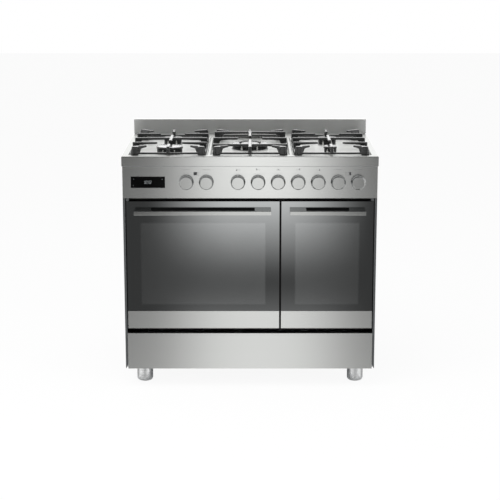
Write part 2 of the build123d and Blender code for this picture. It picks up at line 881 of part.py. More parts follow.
def grill_element(oven):
    """The bent tube under the oven roof, with both ends at the back wall."""
    half = (oven.cavity[1] - oven.cavity[0]) / 2 - grill_inset
    z = cavity_top - grill_drop
    front, turn = grill_front, cavity_back - grill_setback
    steps = [(-half, cavity_back), (-half, front), (-half / 3, front), (-half / 3, turn),
             (half / 3, turn), (half / 3, front), (half, front), (half, cavity_back)]
    return bent_rod([(oven.middle + x, d, z) for x, d in steps], min(grill_bend, half / 3.2), element_radius)


def ring_element():
    """The round element about the fan, standing on two legs from the back wall."""
    radius = fan_radius + ring_clearance
    depth = cavity_back - ring_standoff
    centre = Pos(main_oven.middle, fascia_y + depth, fan_z) * Rot(90, 0, 0)
    ring = centre * Torus(radius, element_radius)
    ring -= centre * Pos(0, -radius, 0) * Box(2 * ring_gap, radius, 4 * element_radius)
    side = math.sqrt(radius ** 2 - ring_gap ** 2)
    for s in (-1, 1):
        ring += rod_d(main_oven.middle + s * ring_gap, depth, cavity_back, fan_z - side, element_radius)
    return ring


def fan_rotor():
    """The oven fan: hub, back disc, radial blades and the shaft to the motor."""
    x = main_oven.middle
    back = cavity_back - fan_standoff
    fan = rod_d(x, back - fan_plate, back, fan_z, fan_radius)
    fan += rod_d(x, back - fan_blade - fan_nose, back, fan_z, fan_hub)
    fan += rod_d(x, back - fan_blade, cavity_back + sheet + motor_bore, fan_z, spindle_radius)
    blade = Box(fan_radius - fan_root, fan_blade, fan_plate)
    centre = Pos(x, fascia_y + back - fan_blade / 2 - 1, fan_z)
    middle = Pos(fan_root + (fan_radius - fan_root - 2) / 2, 0, 0)
    return fan + [centre * Rot(0, 360 * i / fan_blades, 0) * middle * blade for i in range(fan_blades)]


def fan_motor():
    """The motor behind the back wall, with a bore for the fan shaft."""
    x = main_oven.middle
    wall = cavity_back + sheet
    motor = rod_d(x, wall, wall + motor_plate, fan_z, motor_flange)
    motor += rod_d(x, wall, wall + motor_length, fan_z, motor_radius)
    return motor - rod_d(x, wall - 1, wall + motor_bore + 1, fan_z, spindle_radius + running_fit)


def fan_baffle():
    """The cover in front of the fan: a shallow tray with a round grille and side slots."""
    x = main_oven.middle
    front = cavity_back - baffle_depth
    cover = open_box(x - baffle_half, x + baffle_half, front, cavity_back, fan_z - baffle_half,
                     fan_z + baffle_half, sheet, "back")
    holes = []
    for ring in range(grille_rings):
        count = max(1, 6 * ring)
        for i in range(count):
            turn = 2 * math.pi * i / count
            out = ring * grille_pitch
            holes.append(rod_d(x + out * math.cos(turn), front - 1, front + sheet + 1,
                               fan_z + out * math.sin(turn), grille_hole))
    near = front + baffle_slot_front
    for row in range(baffle_slot_rows):
        z = fan_z + (row - (baffle_slot_rows - 1) / 2) * baffle_slot_pitch
        holes.append(slab(x - baffle_half - 1, x + baffle_half + 1, near, near + baffle_slot_depth,
                          z - baffle_slot / 2, z + baffle_slot / 2))
    return cover - holes


def oven_switches():
    """The selectors and thermostats behind the oven knobs."""
    pieces = []
    for x in oven_knobs.values():
        body = slab(x - switch_half, x + switch_half, switch_front, switch_back, knob_z - switch_half,
                    knob_z + switch_half)
        body += rod_d(x, sheet, switch_front, knob_z, switch_neck)
        pieces.append(body - rod_d(x, 0, tap_end + bore_end, knob_z, spindle_radius + running_fit))
    return pieces


def knob(x):
    """A turned knob with a wide skirt, a blind hole for its spindle and a raised mark at the top."""
    back, front = -knob_gap, -knob_gap - knob_length
    body = spun([(0, back), (knob_skirt, back), (knob_skirt, back - knob_rim),
                 (knob_face + knob_edge, back - knob_flare), (knob_face, back - knob_neck),
                 (knob_face, front + knob_edge), (knob_face - knob_edge, front), (0, front)], x, 0, knob_z)
    body += slab(x - knob_mark, x + knob_mark, back - knob_flare, back - knob_rim / 2,
                 knob_z + knob_face - mark_root, knob_z + knob_skirt + knob_mark / 2)
    return body - rod_d(x, back - spindle_bore_depth, back + 1, knob_z, spindle_radius + running_fit)


def spindle(x, collar):
    """The shaft between a knob and the tap or switch behind it; a gas one has a collar for its spring."""
    shaft = rod_d(x, loose_fit - knob_gap - spindle_bore_depth, tap_end - push_travel, knob_z, spindle_radius)
    if collar:
        shaft += rod_d(x, collar_depth, collar_depth + collar_length, knob_z, spindle_radius + collar_rise)
    return shaft


def door_glass(oven):
    """The outer pane."""
    return slab(oven.left, oven.right, 0, glass, door_bottom + trim_height + trim_joint, door_top)


def door_trim(oven):
    """The folded steel strip below the outer pane."""
    return open_box(oven.left, oven.right, 0, glass, door_bottom, door_bottom + trim_height, sheet, "back")


def hinge_slots(oven):
    """The cut in a door that lets its hinge arms swing from the back face round to the lower edge."""
    return [slab(x - arm_slot / 2, x + arm_slot / 2, pivot_depth - arm_eye - 1, door_depth + 1,
                 door_bottom - 1, pivot_z + arm_eye + 0.5) for x in oven.hinges]


def door_frame(oven):
    """The channel-section frame of a door, and the two hinge cases with their pivot pins inside it."""
    x0, x1 = oven.left + frame_inset, oven.right - frame_inset
    z0, z1 = door_bottom + frame_drop, door_top - frame_drop
    back = door_depth - glass
    side = window_side - frame_inset - window_lap
    top = window_top - frame_drop - window_lap
    bottom = window_bottom - frame_drop - window_lap
    frame = ring_slab(x0, x1, glass, back, z0, z1, side, top, bottom)
    frame -= ring_slab(x0 + sheet, x1 - sheet, glass - 1, back - sheet, z0 + sheet, z1 - sheet,
                       side - 2 * sheet, top - 2 * sheet, bottom - 2 * sheet)
    pieces = [frame - hinge_slots(oven)]
    for x in oven.hinges:
        half = arm_slot / 2 + cheek
        near, low = glass + frame_gap, z0 + sheet
        case = slab(x - half, x + half, near, back - sheet, low, low + hinge_case_height)
        case -= slab(x - half + cheek, x + half - cheek, near + cheek, back - sheet + 1,
                     pivot_z + arm_eye + receiver_lip, low + hinge_case_height - cheek)
        case -= hinge_slots(oven)
        pieces.append(case + rod_x(x - half, x + half, pivot_depth, pivot_z, pin_radius))
    return pieces


def door_inner_glass(oven):
    """The pane on the oven side of the door, and a second pane held inside the frame."""
    x0, x1 = oven.left + pane_inset, oven.right - pane_inset
    inner = slab(x0, x1, door_depth - glass, door_depth, cavity_bottom - pane_foot, door_top - pane_head)
    side = window_side - window_lap
    middle = slab(oven.left + side, oven.right - side, pivot_depth - glass / 2, pivot_depth + glass / 2,
                  door_bottom + window_bottom - window_lap, door_top - window_top + window_lap)
    return [inner, middle]


def door_handle(oven):
    """A flat bar carried on two wide end blocks, with a finger gap behind it."""
    x0, x1 = oven.left + handle_inset, oven.right - handle_inset
    z0, z1 = door_top - handle_drop - handle_height / 2, door_top - handle_drop + handle_height / 2
    bar = slab(x0, x1, -handle_reach, 0, z0, z1)
    bar -= slab(x0 + handle_end, x1 - handle_end, handle_bar - handle_reach, 1, z0 - 1, z1 + 1)
    front = bar.edges().filter_by(Axis.X).group_by(Axis.Y)[0]
    return fillet(front, handle_round)


def hinge_arms():
    """The fixed arms: an eye on the pivot pin and a bar back to a receiver behind the front frame."""
    pieces = []
    for oven in ovens:
        for x in oven.hinges:
            half = arm_thickness / 2
            arm = rod_x(x - half, x + half, pivot_depth, pivot_z, arm_eye)
            arm += slab(x - half, x + half, pivot_depth, arm_reach, pivot_z - arm_height / 2,
                        pivot_z + arm_height / 2)
            lip = arm_eye + receiver_lip
            arm += slab(x - receiver_half, x + receiver_half, frame_back, arm_reach, pivot_z - lip,
                        pivot_z + lip)
            hole = pin_radius + running_fit
            pieces.append(arm - rod_x(x - half - 1, x + half + 1, pivot_depth, pivot_z, hole))
    return pieces


def drawer_front():
    """The folded front of the storage drawer."""
    return open_box(-drawer_width / 2, drawer_width / 2, 0, drawer_front_depth, base_height, drawer_top,
                    sheet, "back")


def drawer_box():
    """The drawer tray, with a full plate behind the drawer front and a runner along each side."""
    z0 = base_height + drawer_box_rise
    tray = open_box(-drawer_box_half, drawer_box_half, drawer_front_depth,
                    drawer_front_depth + drawer_box_depth, z0, z0 + drawer_box_height, sheet, "top")
    edge = drawer_width / 2 - sheet / 2
    tray += slab(-edge, edge, drawer_front_depth, drawer_front_depth + sheet, base_height + sheet / 2,
                 drawer_top - sheet / 2)
    z = base_height + runner_rise
    web = drawer_box_half + runner_width
    runner = slab(drawer_box_half, web, runner_front, drawer_box_depth, z, z + runner_height)
    runner -= slab(drawer_box_half + sheet, web + 1, runner_front - 1, drawer_box_depth + 1,
                   z + runner_lip, z + runner_height - runner_lip)
    return [tray, runner, mirror(runner, Plane.YZ)]


def drawer_rails():
    """The fixed channels that the runners slide in, standing on the base tray."""
    z = base_height + runner_rise
    x0 = drawer_box_half + slide_fit
    web = x0 + runner_width
    front, back = runner_front + channel_inset, back_face - channel_setback
    floor = base_height + side_sheet
    rail = slab(web, web + channel, front, back, floor, z + runner_height + slide_fit + channel)
    for low in (z - slide_fit - channel, z + runner_height + slide_fit):
        rail += slab(x0, web, front, back, low, low + channel)
    rail += slab(web + channel, web + runner_width, front, back, floor, floor + channel)
    return [rail, mirror(rail, Plane.YZ)]


def terminal_cover():
    """The box over the mains terminals, with ears for two screws and a bush for a cable below."""
    wall = back_face + sheet
    mid = wall + terminal_depth / 2 - loose_fit / 3
    cover = open_box(terminal_x - terminal_half, terminal_x + terminal_half, wall, wall + terminal_depth,
                     terminal_z, terminal_z + terminal_height, sheet, "front")
    for s in (-1, 1):
        ear = sorted((terminal_x + s * terminal_half, terminal_x + s * (terminal_half + terminal_ear)))
        cover += slab(*ear, wall, wall + sheet, terminal_mid - ear_height / 2, terminal_mid + ear_height / 2)
        cover -= rod_d(terminal_x + s * terminal_screw, wall - 1, wall + sheet + 1, terminal_mid,
                       screw_radius)
    hole = cable_bore + bush_wall
    cover -= rod_z(terminal_x, mid, terminal_z - 1, terminal_z + sheet + 1, hole)
    low, high = terminal_z - bush_drop, terminal_z + bush_grip
    bush = rod_z(terminal_x, mid, low, terminal_z, hole + bush_wall)
    bush += rod_z(terminal_x, mid, terminal_z - 1, high, hole - running_fit)
    return [cover, bush - rod_z(terminal_x, mid, low - 1, high + 1, cable_bore)]


def screws():
    """The screws that hold the sides to the back panel and the terminal cover to it."""
    pieces = [screw(s * half_width, side_screw_depth, z, (s, 0, 0), side_sheet + sheet + screw_grip)
              for s in (-1, 1) for z in side_screw_z]
    face = back_face + 2 * sheet
    return pieces + [screw(terminal_x + s * terminal_screw, face, terminal_mid, (0, 1, 0),
                           2 * sheet + screw_grip) for s in (-1, 1)]


def feet():
    """Four adjustable feet: a steel sleeve, a stud with a hexagon below the tray, and a nut above it."""
    pieces = []
    for x, d in foot_places:
        sleeve = rod_z(x, d, 0, foot_height, foot_radius)
        sleeve = fillet(sleeve.edges().group_by(Axis.Z)[0], foot_round)
        sleeve = fillet(sleeve.edges().group_by(Axis.Z)[-1], foot_lip)
        place = Pos(x, fascia_y + d, 0)
        floor = base_height + side_sheet
        stud = rod_z(x, d, foot_height, floor + stud_rise, stud_radius)
        flats = RegularPolygon(nut_radius, 6)
        low = foot_height + flats_gap
        stud += place * Pos(0, 0, low) * extrude(flats, base_height - low)
        nut = place * Pos(0, 0, floor) * extrude(flats, nut_height)
        nut -= rod_z(x, d, base_height, floor + stud_rise, stud_radius + running_fit)
        pieces += [sleeve, stud, nut]
    return pieces


right_side = side_panel()
nodes = {
    "base_tray": [base_tray()],
    "side_panel_left": [mirror(right_side, Plane.YZ)],
    "side_panel_right": [right_side],
    "back_panel": [back_panel()],
    "oven_deck": [oven_deck()],
    "front_frame": [front_frame()],
    "hob_top": [hob_top()],
    "splashback": [splashback()],
    "control_panel": [control_panel()],
    "clock_display": clock_display(),
    "gas_rail": gas_rail(),
    "burner_bodies": burner_bodies(),
    "burner_caps": burner_caps(),
    "igniters": igniters(),
    "pan_support_left": [pan_support(-1)],
    "pan_support_centre": [pan_support(0)],
    "pan_support_right": [pan_support(1)],
    "oven_insulation": [oven_insulation(oven) for oven in ovens],
    "door_seals": [door_seal(oven) for oven in ovens],
    "shelf_ladders": [ladder for oven in ovens for ladder in shelf_ladders(oven)],
    "oven_shelves": [oven_shelf(oven) for oven in ovens],
    "heating_elements": [grill_element(oven) for oven in ovens] + [ring_element()],
    "fan_rotor": [fan_rotor()],
    "fan_motor": [fan_motor()],
    "fan_baffle": [fan_baffle()],
    "lamp_lenses": lamp_lenses(),
    "oven_switches": oven_switches(),
    "hinge_arms": hinge_arms(),
    "drawer_front": [drawer_front()],
    "drawer_box": drawer_box(),
    "drawer_rails": drawer_rails(),
    "terminal_cover": terminal_cover(),
    "screws": screws(),
    "feet": feet(),
}
for oven in ovens:
    nodes[f"{oven.name}_cavity"] = [cavity(oven)]
    nodes[f"{oven.name}_door_glass"] = [door_glass(oven)]
    nodes[f"{oven.name}_door_trim"] = [door_trim(oven)]
    nodes[f"{oven.name}_door_frame"] = door_frame(oven)
    nodes[f"{oven.name}_door_inner_glass"] = door_inner_glass(oven)
    nodes[f"{oven.name}_door_handle"] = [door_handle(oven)]
for name, x in oven_knobs.items():
    nodes[f"knob_{name}"] = [knob(x), spindle(x, False)]
for x, burner in zip(gas_knob_x, burners):
    nodes[f"knob_{burner.name}"] = [knob(x)]
    nodes[f"spindle_{burner.name}"] = [spindle(x, True)]

os.makedirs("parts", exist_ok=True)
for name, pieces in nodes.items():
    solids = [solid for piece in pieces for solid in piece.solids()]
    export_step(solids[0] if len(solids) == 1 else Compound(solids), f"parts/{name}.step")
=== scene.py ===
"""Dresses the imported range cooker: finishes, castings, printed marks, light and camera."""

import json
import logging
import math
from collections.abc import Iterable, Sequence
from dataclasses import dataclass, field
from enum import Enum
from typing import Any

import bmesh
import bpy
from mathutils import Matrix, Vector

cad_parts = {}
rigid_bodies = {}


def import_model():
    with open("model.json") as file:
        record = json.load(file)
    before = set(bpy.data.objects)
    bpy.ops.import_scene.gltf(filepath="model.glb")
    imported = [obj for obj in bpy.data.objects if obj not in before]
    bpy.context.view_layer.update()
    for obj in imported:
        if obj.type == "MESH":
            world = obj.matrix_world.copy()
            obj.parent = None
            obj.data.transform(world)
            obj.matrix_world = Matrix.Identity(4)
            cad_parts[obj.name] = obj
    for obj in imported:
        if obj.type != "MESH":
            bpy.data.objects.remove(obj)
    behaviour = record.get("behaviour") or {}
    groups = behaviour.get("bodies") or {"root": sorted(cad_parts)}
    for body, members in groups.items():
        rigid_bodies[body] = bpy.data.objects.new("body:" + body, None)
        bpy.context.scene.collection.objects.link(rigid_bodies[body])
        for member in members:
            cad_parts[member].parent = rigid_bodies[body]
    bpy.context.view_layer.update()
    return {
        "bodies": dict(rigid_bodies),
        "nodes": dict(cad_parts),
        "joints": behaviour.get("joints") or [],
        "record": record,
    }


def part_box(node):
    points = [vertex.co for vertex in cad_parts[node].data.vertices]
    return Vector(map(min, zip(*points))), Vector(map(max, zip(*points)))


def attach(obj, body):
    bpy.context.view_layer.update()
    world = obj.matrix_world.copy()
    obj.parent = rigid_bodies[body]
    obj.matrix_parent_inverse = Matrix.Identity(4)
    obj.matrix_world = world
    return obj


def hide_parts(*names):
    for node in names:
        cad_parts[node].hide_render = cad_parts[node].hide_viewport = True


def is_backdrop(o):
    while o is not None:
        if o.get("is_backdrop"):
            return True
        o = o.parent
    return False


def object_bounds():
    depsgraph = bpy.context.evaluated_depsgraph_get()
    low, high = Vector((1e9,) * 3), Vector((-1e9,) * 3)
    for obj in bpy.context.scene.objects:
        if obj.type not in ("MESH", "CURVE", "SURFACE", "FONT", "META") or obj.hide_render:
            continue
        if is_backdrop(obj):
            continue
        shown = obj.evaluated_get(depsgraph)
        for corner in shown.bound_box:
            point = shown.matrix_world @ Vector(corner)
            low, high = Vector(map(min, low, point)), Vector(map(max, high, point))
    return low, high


log = logging.getLogger("range_cooker")

MM = 0.001
DEGREES = 180 / math.pi
Colour = tuple[float, float, float, float]
Point = tuple[float, float, float]
Node = bpy.types.Node
Tree = bpy.types.NodeTree
Socket = bpy.types.NodeSocket
Material = bpy.types.Material
Piece = bpy.types.Object


def linear(code: str) -> Colour:
    """Turn an sRGB hex colour into linear light.

    Args:
        code: Colour as "#RRGGBB".

    Returns:
        Red, green, blue and a full alpha.
    """
    parts = [int(code[i:i + 2], 16) / 255 for i in (1, 3, 5)]
    red, green, blue = (p / 12.92 if p <= 0.04045 else ((p + 0.055) / 1.055) ** 2.4 for p in parts)
    return red, green, blue, 1.0


def add_node(tree: Tree, kind: str, settings: dict[str, Any] | None = None,
             inputs: dict[str | int, Any] | Sequence[Any] = ()) -> Node:
    """Add a node with its settings, values and links.

    Args:
        tree: Tree that gets the node.
        kind: Blender's name for the kind of node.
        settings: Properties of the node by name.
        inputs: Values, or sockets to link from, by input name or number, or in order.

    Returns:
        The new node.
    """
    node = tree.nodes.new(kind)
    for key, value in (settings or {}).items():
        setattr(node, key, value)
    given = inputs if isinstance(inputs, dict) else dict(enumerate(inputs))
    for key, value in given.items():
        if isinstance(value, bpy.types.NodeSocket):
            tree.links.new(value, node.inputs[key])
        else:
            node.inputs[key].default_value = value
    return node


class Blend(Enum):
    """How a value is carried from one range to another."""

    STRAIGHT = {"interpolation_type": "LINEAR"}
    SOFT = {"interpolation_type": "SMOOTHSTEP"}


class Sum(Enum):
    """Sums done on two or three values."""

    ADD = {"operation": "ADD"}
    LESS = {"operation": "SUBTRACT"}
    TIMES = {"operation": "MULTIPLY"}
    TIMES_ADD = {"operation": "MULTIPLY_ADD"}
    LARGER = {"operation": "MAXIMUM"}
    OVER = {"operation": "GREATER_THAN"}
    SINE = {"operation": "SINE"}
    BEARING = {"operation": "ARCTAN2"}
    RISE = {"operation": "ARCSINE"}
    SIZE = {"operation": "ABSOLUTE"}
    FOLD = {"operation": "PINGPONG"}


MATHS = "ShaderNodeMath"
RANGE = "ShaderNodeMapRange"
MIX = "ShaderNodeMix"
# Along X, but never quite square to a face, so that it always gives a direction on the surface.
GRAIN_WAY = (1.0, 0.03, 0.0)
COLOURS = {"data_type": "RGBA"}
# Most of a noise lies between these two values.
NOISE_SPAN = (0.3, 0.7)


def object_noise(tree: Tree, size_mm: Point, detail: float = 2.0, rough: float = 0.5) -> Socket:
    """Noise on Object coordinates with a grain of a real size.

    Args:
        tree: Tree to add to.
        size_mm: Grain size along X, Y and Z in millimetres.
        detail: Octaves of finer noise.
        rough: Share of the finer octaves.

    Returns:
        Socket of the noise, about 0.3 to 0.7.
    """
    place = add_node(tree, "ShaderNodeTexCoord")
    scale = [1 / (s * MM) for s in size_mm]
    turned = add_node(tree, "ShaderNodeMapping", inputs={"Vector": place.outputs["Object"], "Scale": scale})
    noise = add_node(tree, "ShaderNodeTexNoise", inputs={
        "Vector": turned.outputs[0], "Scale": 1.0, "Detail": detail, "Roughness": rough})
    return noise.outputs["Fac"]


@dataclass(frozen=True)
class Finish:
    """A finish on a real material. Subclasses add the pattern that the material shows."""

    name: str
    colour: str
    roughness: float
    metallic: float = 0.0
    shader: dict[str, float | Colour] = field(default_factory=dict)

    def material(self) -> Material:
        """Return the material, built on first use."""
        known = bpy.data.materials.get(self.name)
        if known:
            return known
        made = bpy.data.materials.new(self.name)
        made.use_nodes = True
        tree = made.node_tree
        surface = tree.nodes["Principled BSDF"]
        surface.inputs["Base Color"].default_value = linear(self.colour)
        surface.inputs["Roughness"].default_value = self.roughness
        surface.inputs["Metallic"].default_value = self.metallic
        for key, value in self.shader.items():
            surface.inputs[key].default_value = value
        self.pattern(tree, surface)
        return made

    def pattern(self, tree: Tree, surface: Node) -> None:
        """Add the pattern; the plain finish has none."""


@dataclass(frozen=True)
class Mottled(Finish):
    """A finish whose colour, gloss and height wander with a grain of a real size."""

    second: str = "#808080"
    grain_mm: Point = (1.0, 1.0, 1.0)
    gloss_spread: float = 0.05
    bump_mm: float = 0.0
    detail: float = 3.0
    span: tuple[float, float] = (0.32, 0.68)

    def pattern(self, tree: Tree, surface: Node) -> None:
        """Mix the two colours, the gloss and the bump by one noise."""
        noise = object_noise(tree, self.grain_mm, self.detail)
        share = add_node(tree, RANGE, inputs=(noise, *self.span)).outputs[0]
        mixed = add_node(tree, MIX, COLOURS, {0: share, 6: linear(self.colour), 7: linear(self.second)})
        tree.links.new(mixed.outputs[2], surface.inputs["Base Color"])
        gloss = add_node(tree, RANGE, inputs=(
            share, 0.0, 1.0, self.roughness - self.gloss_spread, self.roughness + self.gloss_spread))
        tree.links.new(gloss.outputs[0], surface.inputs["Roughness"])
        if self.bump_mm:
            bump = add_node(tree, "ShaderNodeBump", inputs={"Height": noise, "Distance": self.bump_mm * MM})
            tree.links.new(bump.outputs[0], surface.inputs["Normal"])


@dataclass(frozen=True)
class BrushedSteel(Finish):
    """Stainless sheet brushed along its length: reflections run out across the grain."""

    second: str = "#B4B5B3"
    line_mm: float = 2.2
    line_length_mm: float = 160.0
    line_detail: float = 4.0
    line_rough: float = 0.65
    line_share: float = 0.7
    smudge_mm: float = 130.0
    gloss_spread: float = 0.012
    bump_mm: float = 0.0015

    def pattern(self, tree: Tree, surface: Node) -> None:
        """Lay fine lines along X, with broad, faint clouds of wear over them."""
        size_mm = (self.line_length_mm, self.line_mm, self.line_mm)
        lines = object_noise(tree, size_mm, self.line_detail, self.line_rough)
        cloud = object_noise(tree, (self.smudge_mm,) * 3)
        fine = add_node(tree, RANGE, inputs=(lines, *NOISE_SPAN, 0.0, self.line_share)).outputs[0]
        broad = add_node(tree, RANGE, inputs=(cloud, *NOISE_SPAN, 0.0, 1 - self.line_share)).outputs[0]
        share = add_node(tree, MATHS, Sum.ADD.value, (fine, broad)).outputs[0]
        mixed = add_node(tree, MIX, COLOURS, {0: share, 6: linear(self.colour), 7: linear(self.second)})
        tree.links.new(mixed.outputs[2], surface.inputs["Base Color"])
        gloss = add_node(tree, RANGE, inputs=(
            share, 0.0, 1.0, self.roughness - self.gloss_spread, self.roughness + self.gloss_spread))
        tree.links.new(gloss.outputs[0], surface.inputs["Roughness"])
        bump = add_node(tree, "ShaderNodeBump", inputs={"Height": lines, "Distance": self.bump_mm * MM})
        tree.links.new(bump.outputs[0], surface.inputs["Normal"])
        along = add_node(tree, "ShaderNodeCombineXYZ", inputs=GRAIN_WAY)
        tree.links.new(along.outputs[0], surface.inputs["Tangent"])


@dataclass(frozen=True)
class PressedSteel(BrushedSteel):
    """Brushed sheet whose flat top is duller than its front edge, and darker: painted shade on the faces that
    point up.
    """

    top: str = "#CDCECC"
    top_roughness: float = 0.28
    upward: tuple[float, float] = (0.3, 0.8)

    def pattern(self, tree: Tree, surface: Node) -> None:
        """Brush the sheet, then change the gloss where it faces up, and paint shade there with a darker
        colour.
        """
        super().pattern(tree, surface)
        shape = add_node(tree, "ShaderNodeNewGeometry").outputs["True Normal"]
        rise = add_node(tree, "ShaderNodeSeparateXYZ", inputs=(shape,)).outputs["Z"]
        share = add_node(tree, RANGE, Blend.SOFT.value, (rise, *self.upward)).outputs[0]
        # Painted shade: the darker top colour goes in where the face points up.
        edge = surface.inputs["Base Color"].links[0].from_socket
        mixed = add_node(tree, MIX, COLOURS, {0: share, 6: edge, 7: linear(self.top)})
        tree.links.new(mixed.outputs[2], surface.inputs["Base Color"])
        gloss = surface.inputs["Roughness"].links[0].from_socket
        worn = add_node(tree, MIX, inputs={0: share, 2: gloss, 3: self.top_roughness})
        tree.links.new(worn.outputs[0], surface.inputs["Roughness"])


@dataclass(frozen=True)
class TurnedSteel(BrushedSteel):
    """Brushed steel with painted shade on its flanks: the sides that face away from the front get a dark
    colour.
    """

    # Painted shade: the colour of the flanks that turn away from the front.
    flank: str = "#97999B"
    facing: tuple[float, float] = (0.45, 0.75)

    def pattern(self, tree: Tree, surface: Node) -> None:
        """Brush the face, then paint shade on the sides by how far they turn from the front."""
        super().pattern(tree, surface)
        shape = add_node(tree, "ShaderNodeNewGeometry").outputs["True Normal"]
        depth = add_node(tree, "ShaderNodeSeparateXYZ", inputs=(shape,)).outputs["Y"]
        front = add_node(tree, RANGE, Blend.SOFT.value, (depth, *(-f for f in self.facing))).outputs[0]
        face = surface.inputs["Base Color"].links[0].from_socket
        mixed = add_node(tree, MIX, COLOURS, {0: front, 6: linear(self.flank), 7: face})
        tree.links.new(mixed.outputs[2], surface.inputs["Base Color"])


@dataclass(frozen=True)
class CoatedGlass(Finish):
    """Door glass with a dark mirror coating, and a window left a little clearer in it."""

    window: str = "#B4B6B6"
    low: tuple[float, float] = (0.0, 0.0)
    high: tuple[float, float] = (1.0, 1.0)
    fade_mm: float = 7.0
    dot_mm: float = 3.2
    dot_share: float = 0.5
    haze_mm: float = 60.0
    haze_low: float = 0.85
    window_roughness: float = 0.065

    def pattern(self, tree: Tree, surface: Node) -> None:
        """Mark the window by its edges, with rows of printed dots where it fades out."""
        place = add_node(tree, "ShaderNodeTexCoord").outputs["Object"]
        split = add_node(tree, "ShaderNodeSeparateXYZ", inputs=(place,)).outputs
        fade = self.fade_mm * MM
        inside: Socket | float = 1.0
        dots: Socket | float = 1.0
        for axis, low, high in (("X", self.low[0], self.high[0]), ("Z", self.low[1], self.high[1])):
            rise = add_node(tree, RANGE, inputs=(split[axis], low, low + fade)).outputs[0]
            fall = add_node(tree, RANGE, inputs=(split[axis], high, high - fade)).outputs[0]
            both = add_node(tree, MATHS, Sum.TIMES.value, (rise, fall)).outputs[0]
            inside = add_node(tree, MATHS, Sum.TIMES.value, (inside, both)).outputs[0]
            turn = add_node(tree, MATHS, Sum.TIMES.value, (split[axis], 2 * math.pi / (self.dot_mm * MM)))
            wave = add_node(tree, MATHS, Sum.SINE.value, (turn.outputs[0],)).outputs[0]
            dots = add_node(tree, MATHS, Sum.TIMES.value, (dots, wave)).outputs[0]
        limit = add_node(tree, RANGE, inputs=(dots, -1.0, 1.0)).outputs[0]
        edge = add_node(tree, MATHS, Sum.OVER.value, (inside, limit)).outputs[0]
        soft = add_node(tree, MIX, inputs={0: self.dot_share, 2: inside, 3: edge}).outputs[0]
        cloud = object_noise(tree, (self.haze_mm,) * 3)
        haze = add_node(tree, RANGE, inputs=(cloud, *NOISE_SPAN, self.haze_low, 1.0))
        shade = add_node(tree, MATHS, Sum.TIMES.value, (soft, haze.outputs[0])).outputs[0]
        mixed = add_node(tree, MIX, COLOURS, {0: shade, 6: linear(self.colour), 7: linear(self.window)})
        tree.links.new(mixed.outputs[2], surface.inputs["Base Color"])
        gloss = add_node(tree, RANGE, inputs=(soft, 0.0, 1.0, self.roughness, self.window_roughness))
        tree.links.new(gloss.outputs[0], surface.inputs["Roughness"])


# Brush lines stretch a highlight square to their own direction.
ACROSS = {"Anisotropic": 0.97, "Anisotropic Rotation": 0.25}
# Brushed 430 stainless: the grain runs along X, so light spreads up and down the face and not across it.
# The real lines are a tenth of a millimetre apart; they are drawn coarser so that they show.
STEEL = BrushedSteel("stainless_steel_brushed", "#D2D3D1", 0.165, 1.0, ACROSS, second="#CDCECC")
# The hob: its rolled front edge is brushed as the panel is, and its top is duller, and a little darker as
# painted shade.
HOB_STEEL = PressedSteel("stainless_steel_hob", "#D2D3D1", 0.165, 1.0, ACROSS, second="#CDCECC")
# The handles, a darker bar of the same steel, with a dark painted shade on their top faces.
BAR_STEEL = PressedSteel("stainless_steel_bar", "#BDBEBC", 0.14, 1.0, ACROSS, second="#B8B9B7",
                         top="#848685", top_roughness=0.2)
# The splashback, a duller sheet: it blurs the supports in front of it.
SPLASH_STEEL = BrushedSteel("stainless_steel_splash", "#E4E5E3", 0.4, 1.0,
                            {"Anisotropic": 0.3, "Anisotropic Rotation": 0.25}, second="#DEDFDD")
# The face of a knob, brushed as the panel is, with painted shade on its flanks.
KNOB_STEEL = TurnedSteel("stainless_steel_knob", "#C6C7C5", 0.17, 1.0, ACROSS, second="#C1C2C0")
# Deep-drawn bright steel on the feet.
FOOT_STEEL = Mottled("stainless_steel_drawn", "#E6E7E7", 0.2, 1.0, second="#D6D7D7",
                     grain_mm=(60.0, 60.0, 1.2), gloss_spread=0.04)
# Stoved powder coat: an even dark grey with a fine orange-peel skin.
GREY_PAINT = Mottled("powder_coat_grey", "#4A4C4D", 0.45, 0.2, second="#515354",
                     grain_mm=(2.0, 2.0, 2.0), bump_mm=0.03)
# Black stoved enamel on pressed steel: nearly black, half gloss.
BLACK_ENAMEL = Mottled("stoved_enamel_black", "#0B0B0B", 0.45, second="#111111", grain_mm=(3.0, 3.0, 3.0),
                       bump_mm=0.02)
# Hot-dip zinc: large dull spangles in two greys.
ZINC = Mottled("galvanised_steel", "#9A9EA0", 0.42, 0.9, second="#B4B8BA", grain_mm=(14.0, 14.0, 14.0),
               gloss_spread=0.08, detail=1.0)
# Vitreous oven enamel: near black with pale grey flecks, fired glossy.
OVEN_ENAMEL = Mottled("vitreous_enamel_oven", "#17191C", 0.24, second="#24272B", grain_mm=(1.4, 1.4, 1.4),
                      gloss_spread=0.04, bump_mm=0.02, detail=5.0)
# Sand-cast iron under a matt enamel: dark, slightly rough skin that goes pale at a low angle.
CAST_IRON = Mottled("cast_iron_enamelled", "#0E0F0F", 0.3, second="#171818", grain_mm=(1.6, 1.6, 1.6),
                    gloss_spread=0.06, bump_mm=0.05, shader={"Coat Weight": 1.0, "Coat Roughness": 0.2})
# Black vitreous enamel on the burner caps, smooth enough to mirror the wall behind.
CAP_ENAMEL = Mottled("vitreous_enamel_cap", "#0C0C0C", 0.2, second="#131313", grain_mm=(2.2, 2.2, 2.2),
                     gloss_spread=0.05, bump_mm=0.02, shader={"Coat Weight": 1.0, "Coat Roughness": 0.12})
# Die-cast burner crowns, blackened by heat, with bare metal showing at the ports.
CROWN = Mottled("aluminium_blackened", "#141414", 0.42, 0.6, second="#3A3B3C", grain_mm=(3.0, 3.0, 5.0),
                gloss_spread=0.08, bump_mm=0.05)
# Die-cast aluminium, bead blasted, darkened a little by heat.
ALUMINIUM = Mottled("die_cast_aluminium", "#8F9091", 0.38, 1.0, second="#77787A", grain_mm=(1.2, 1.2, 1.2),
                    gloss_spread=0.06, bump_mm=0.05)
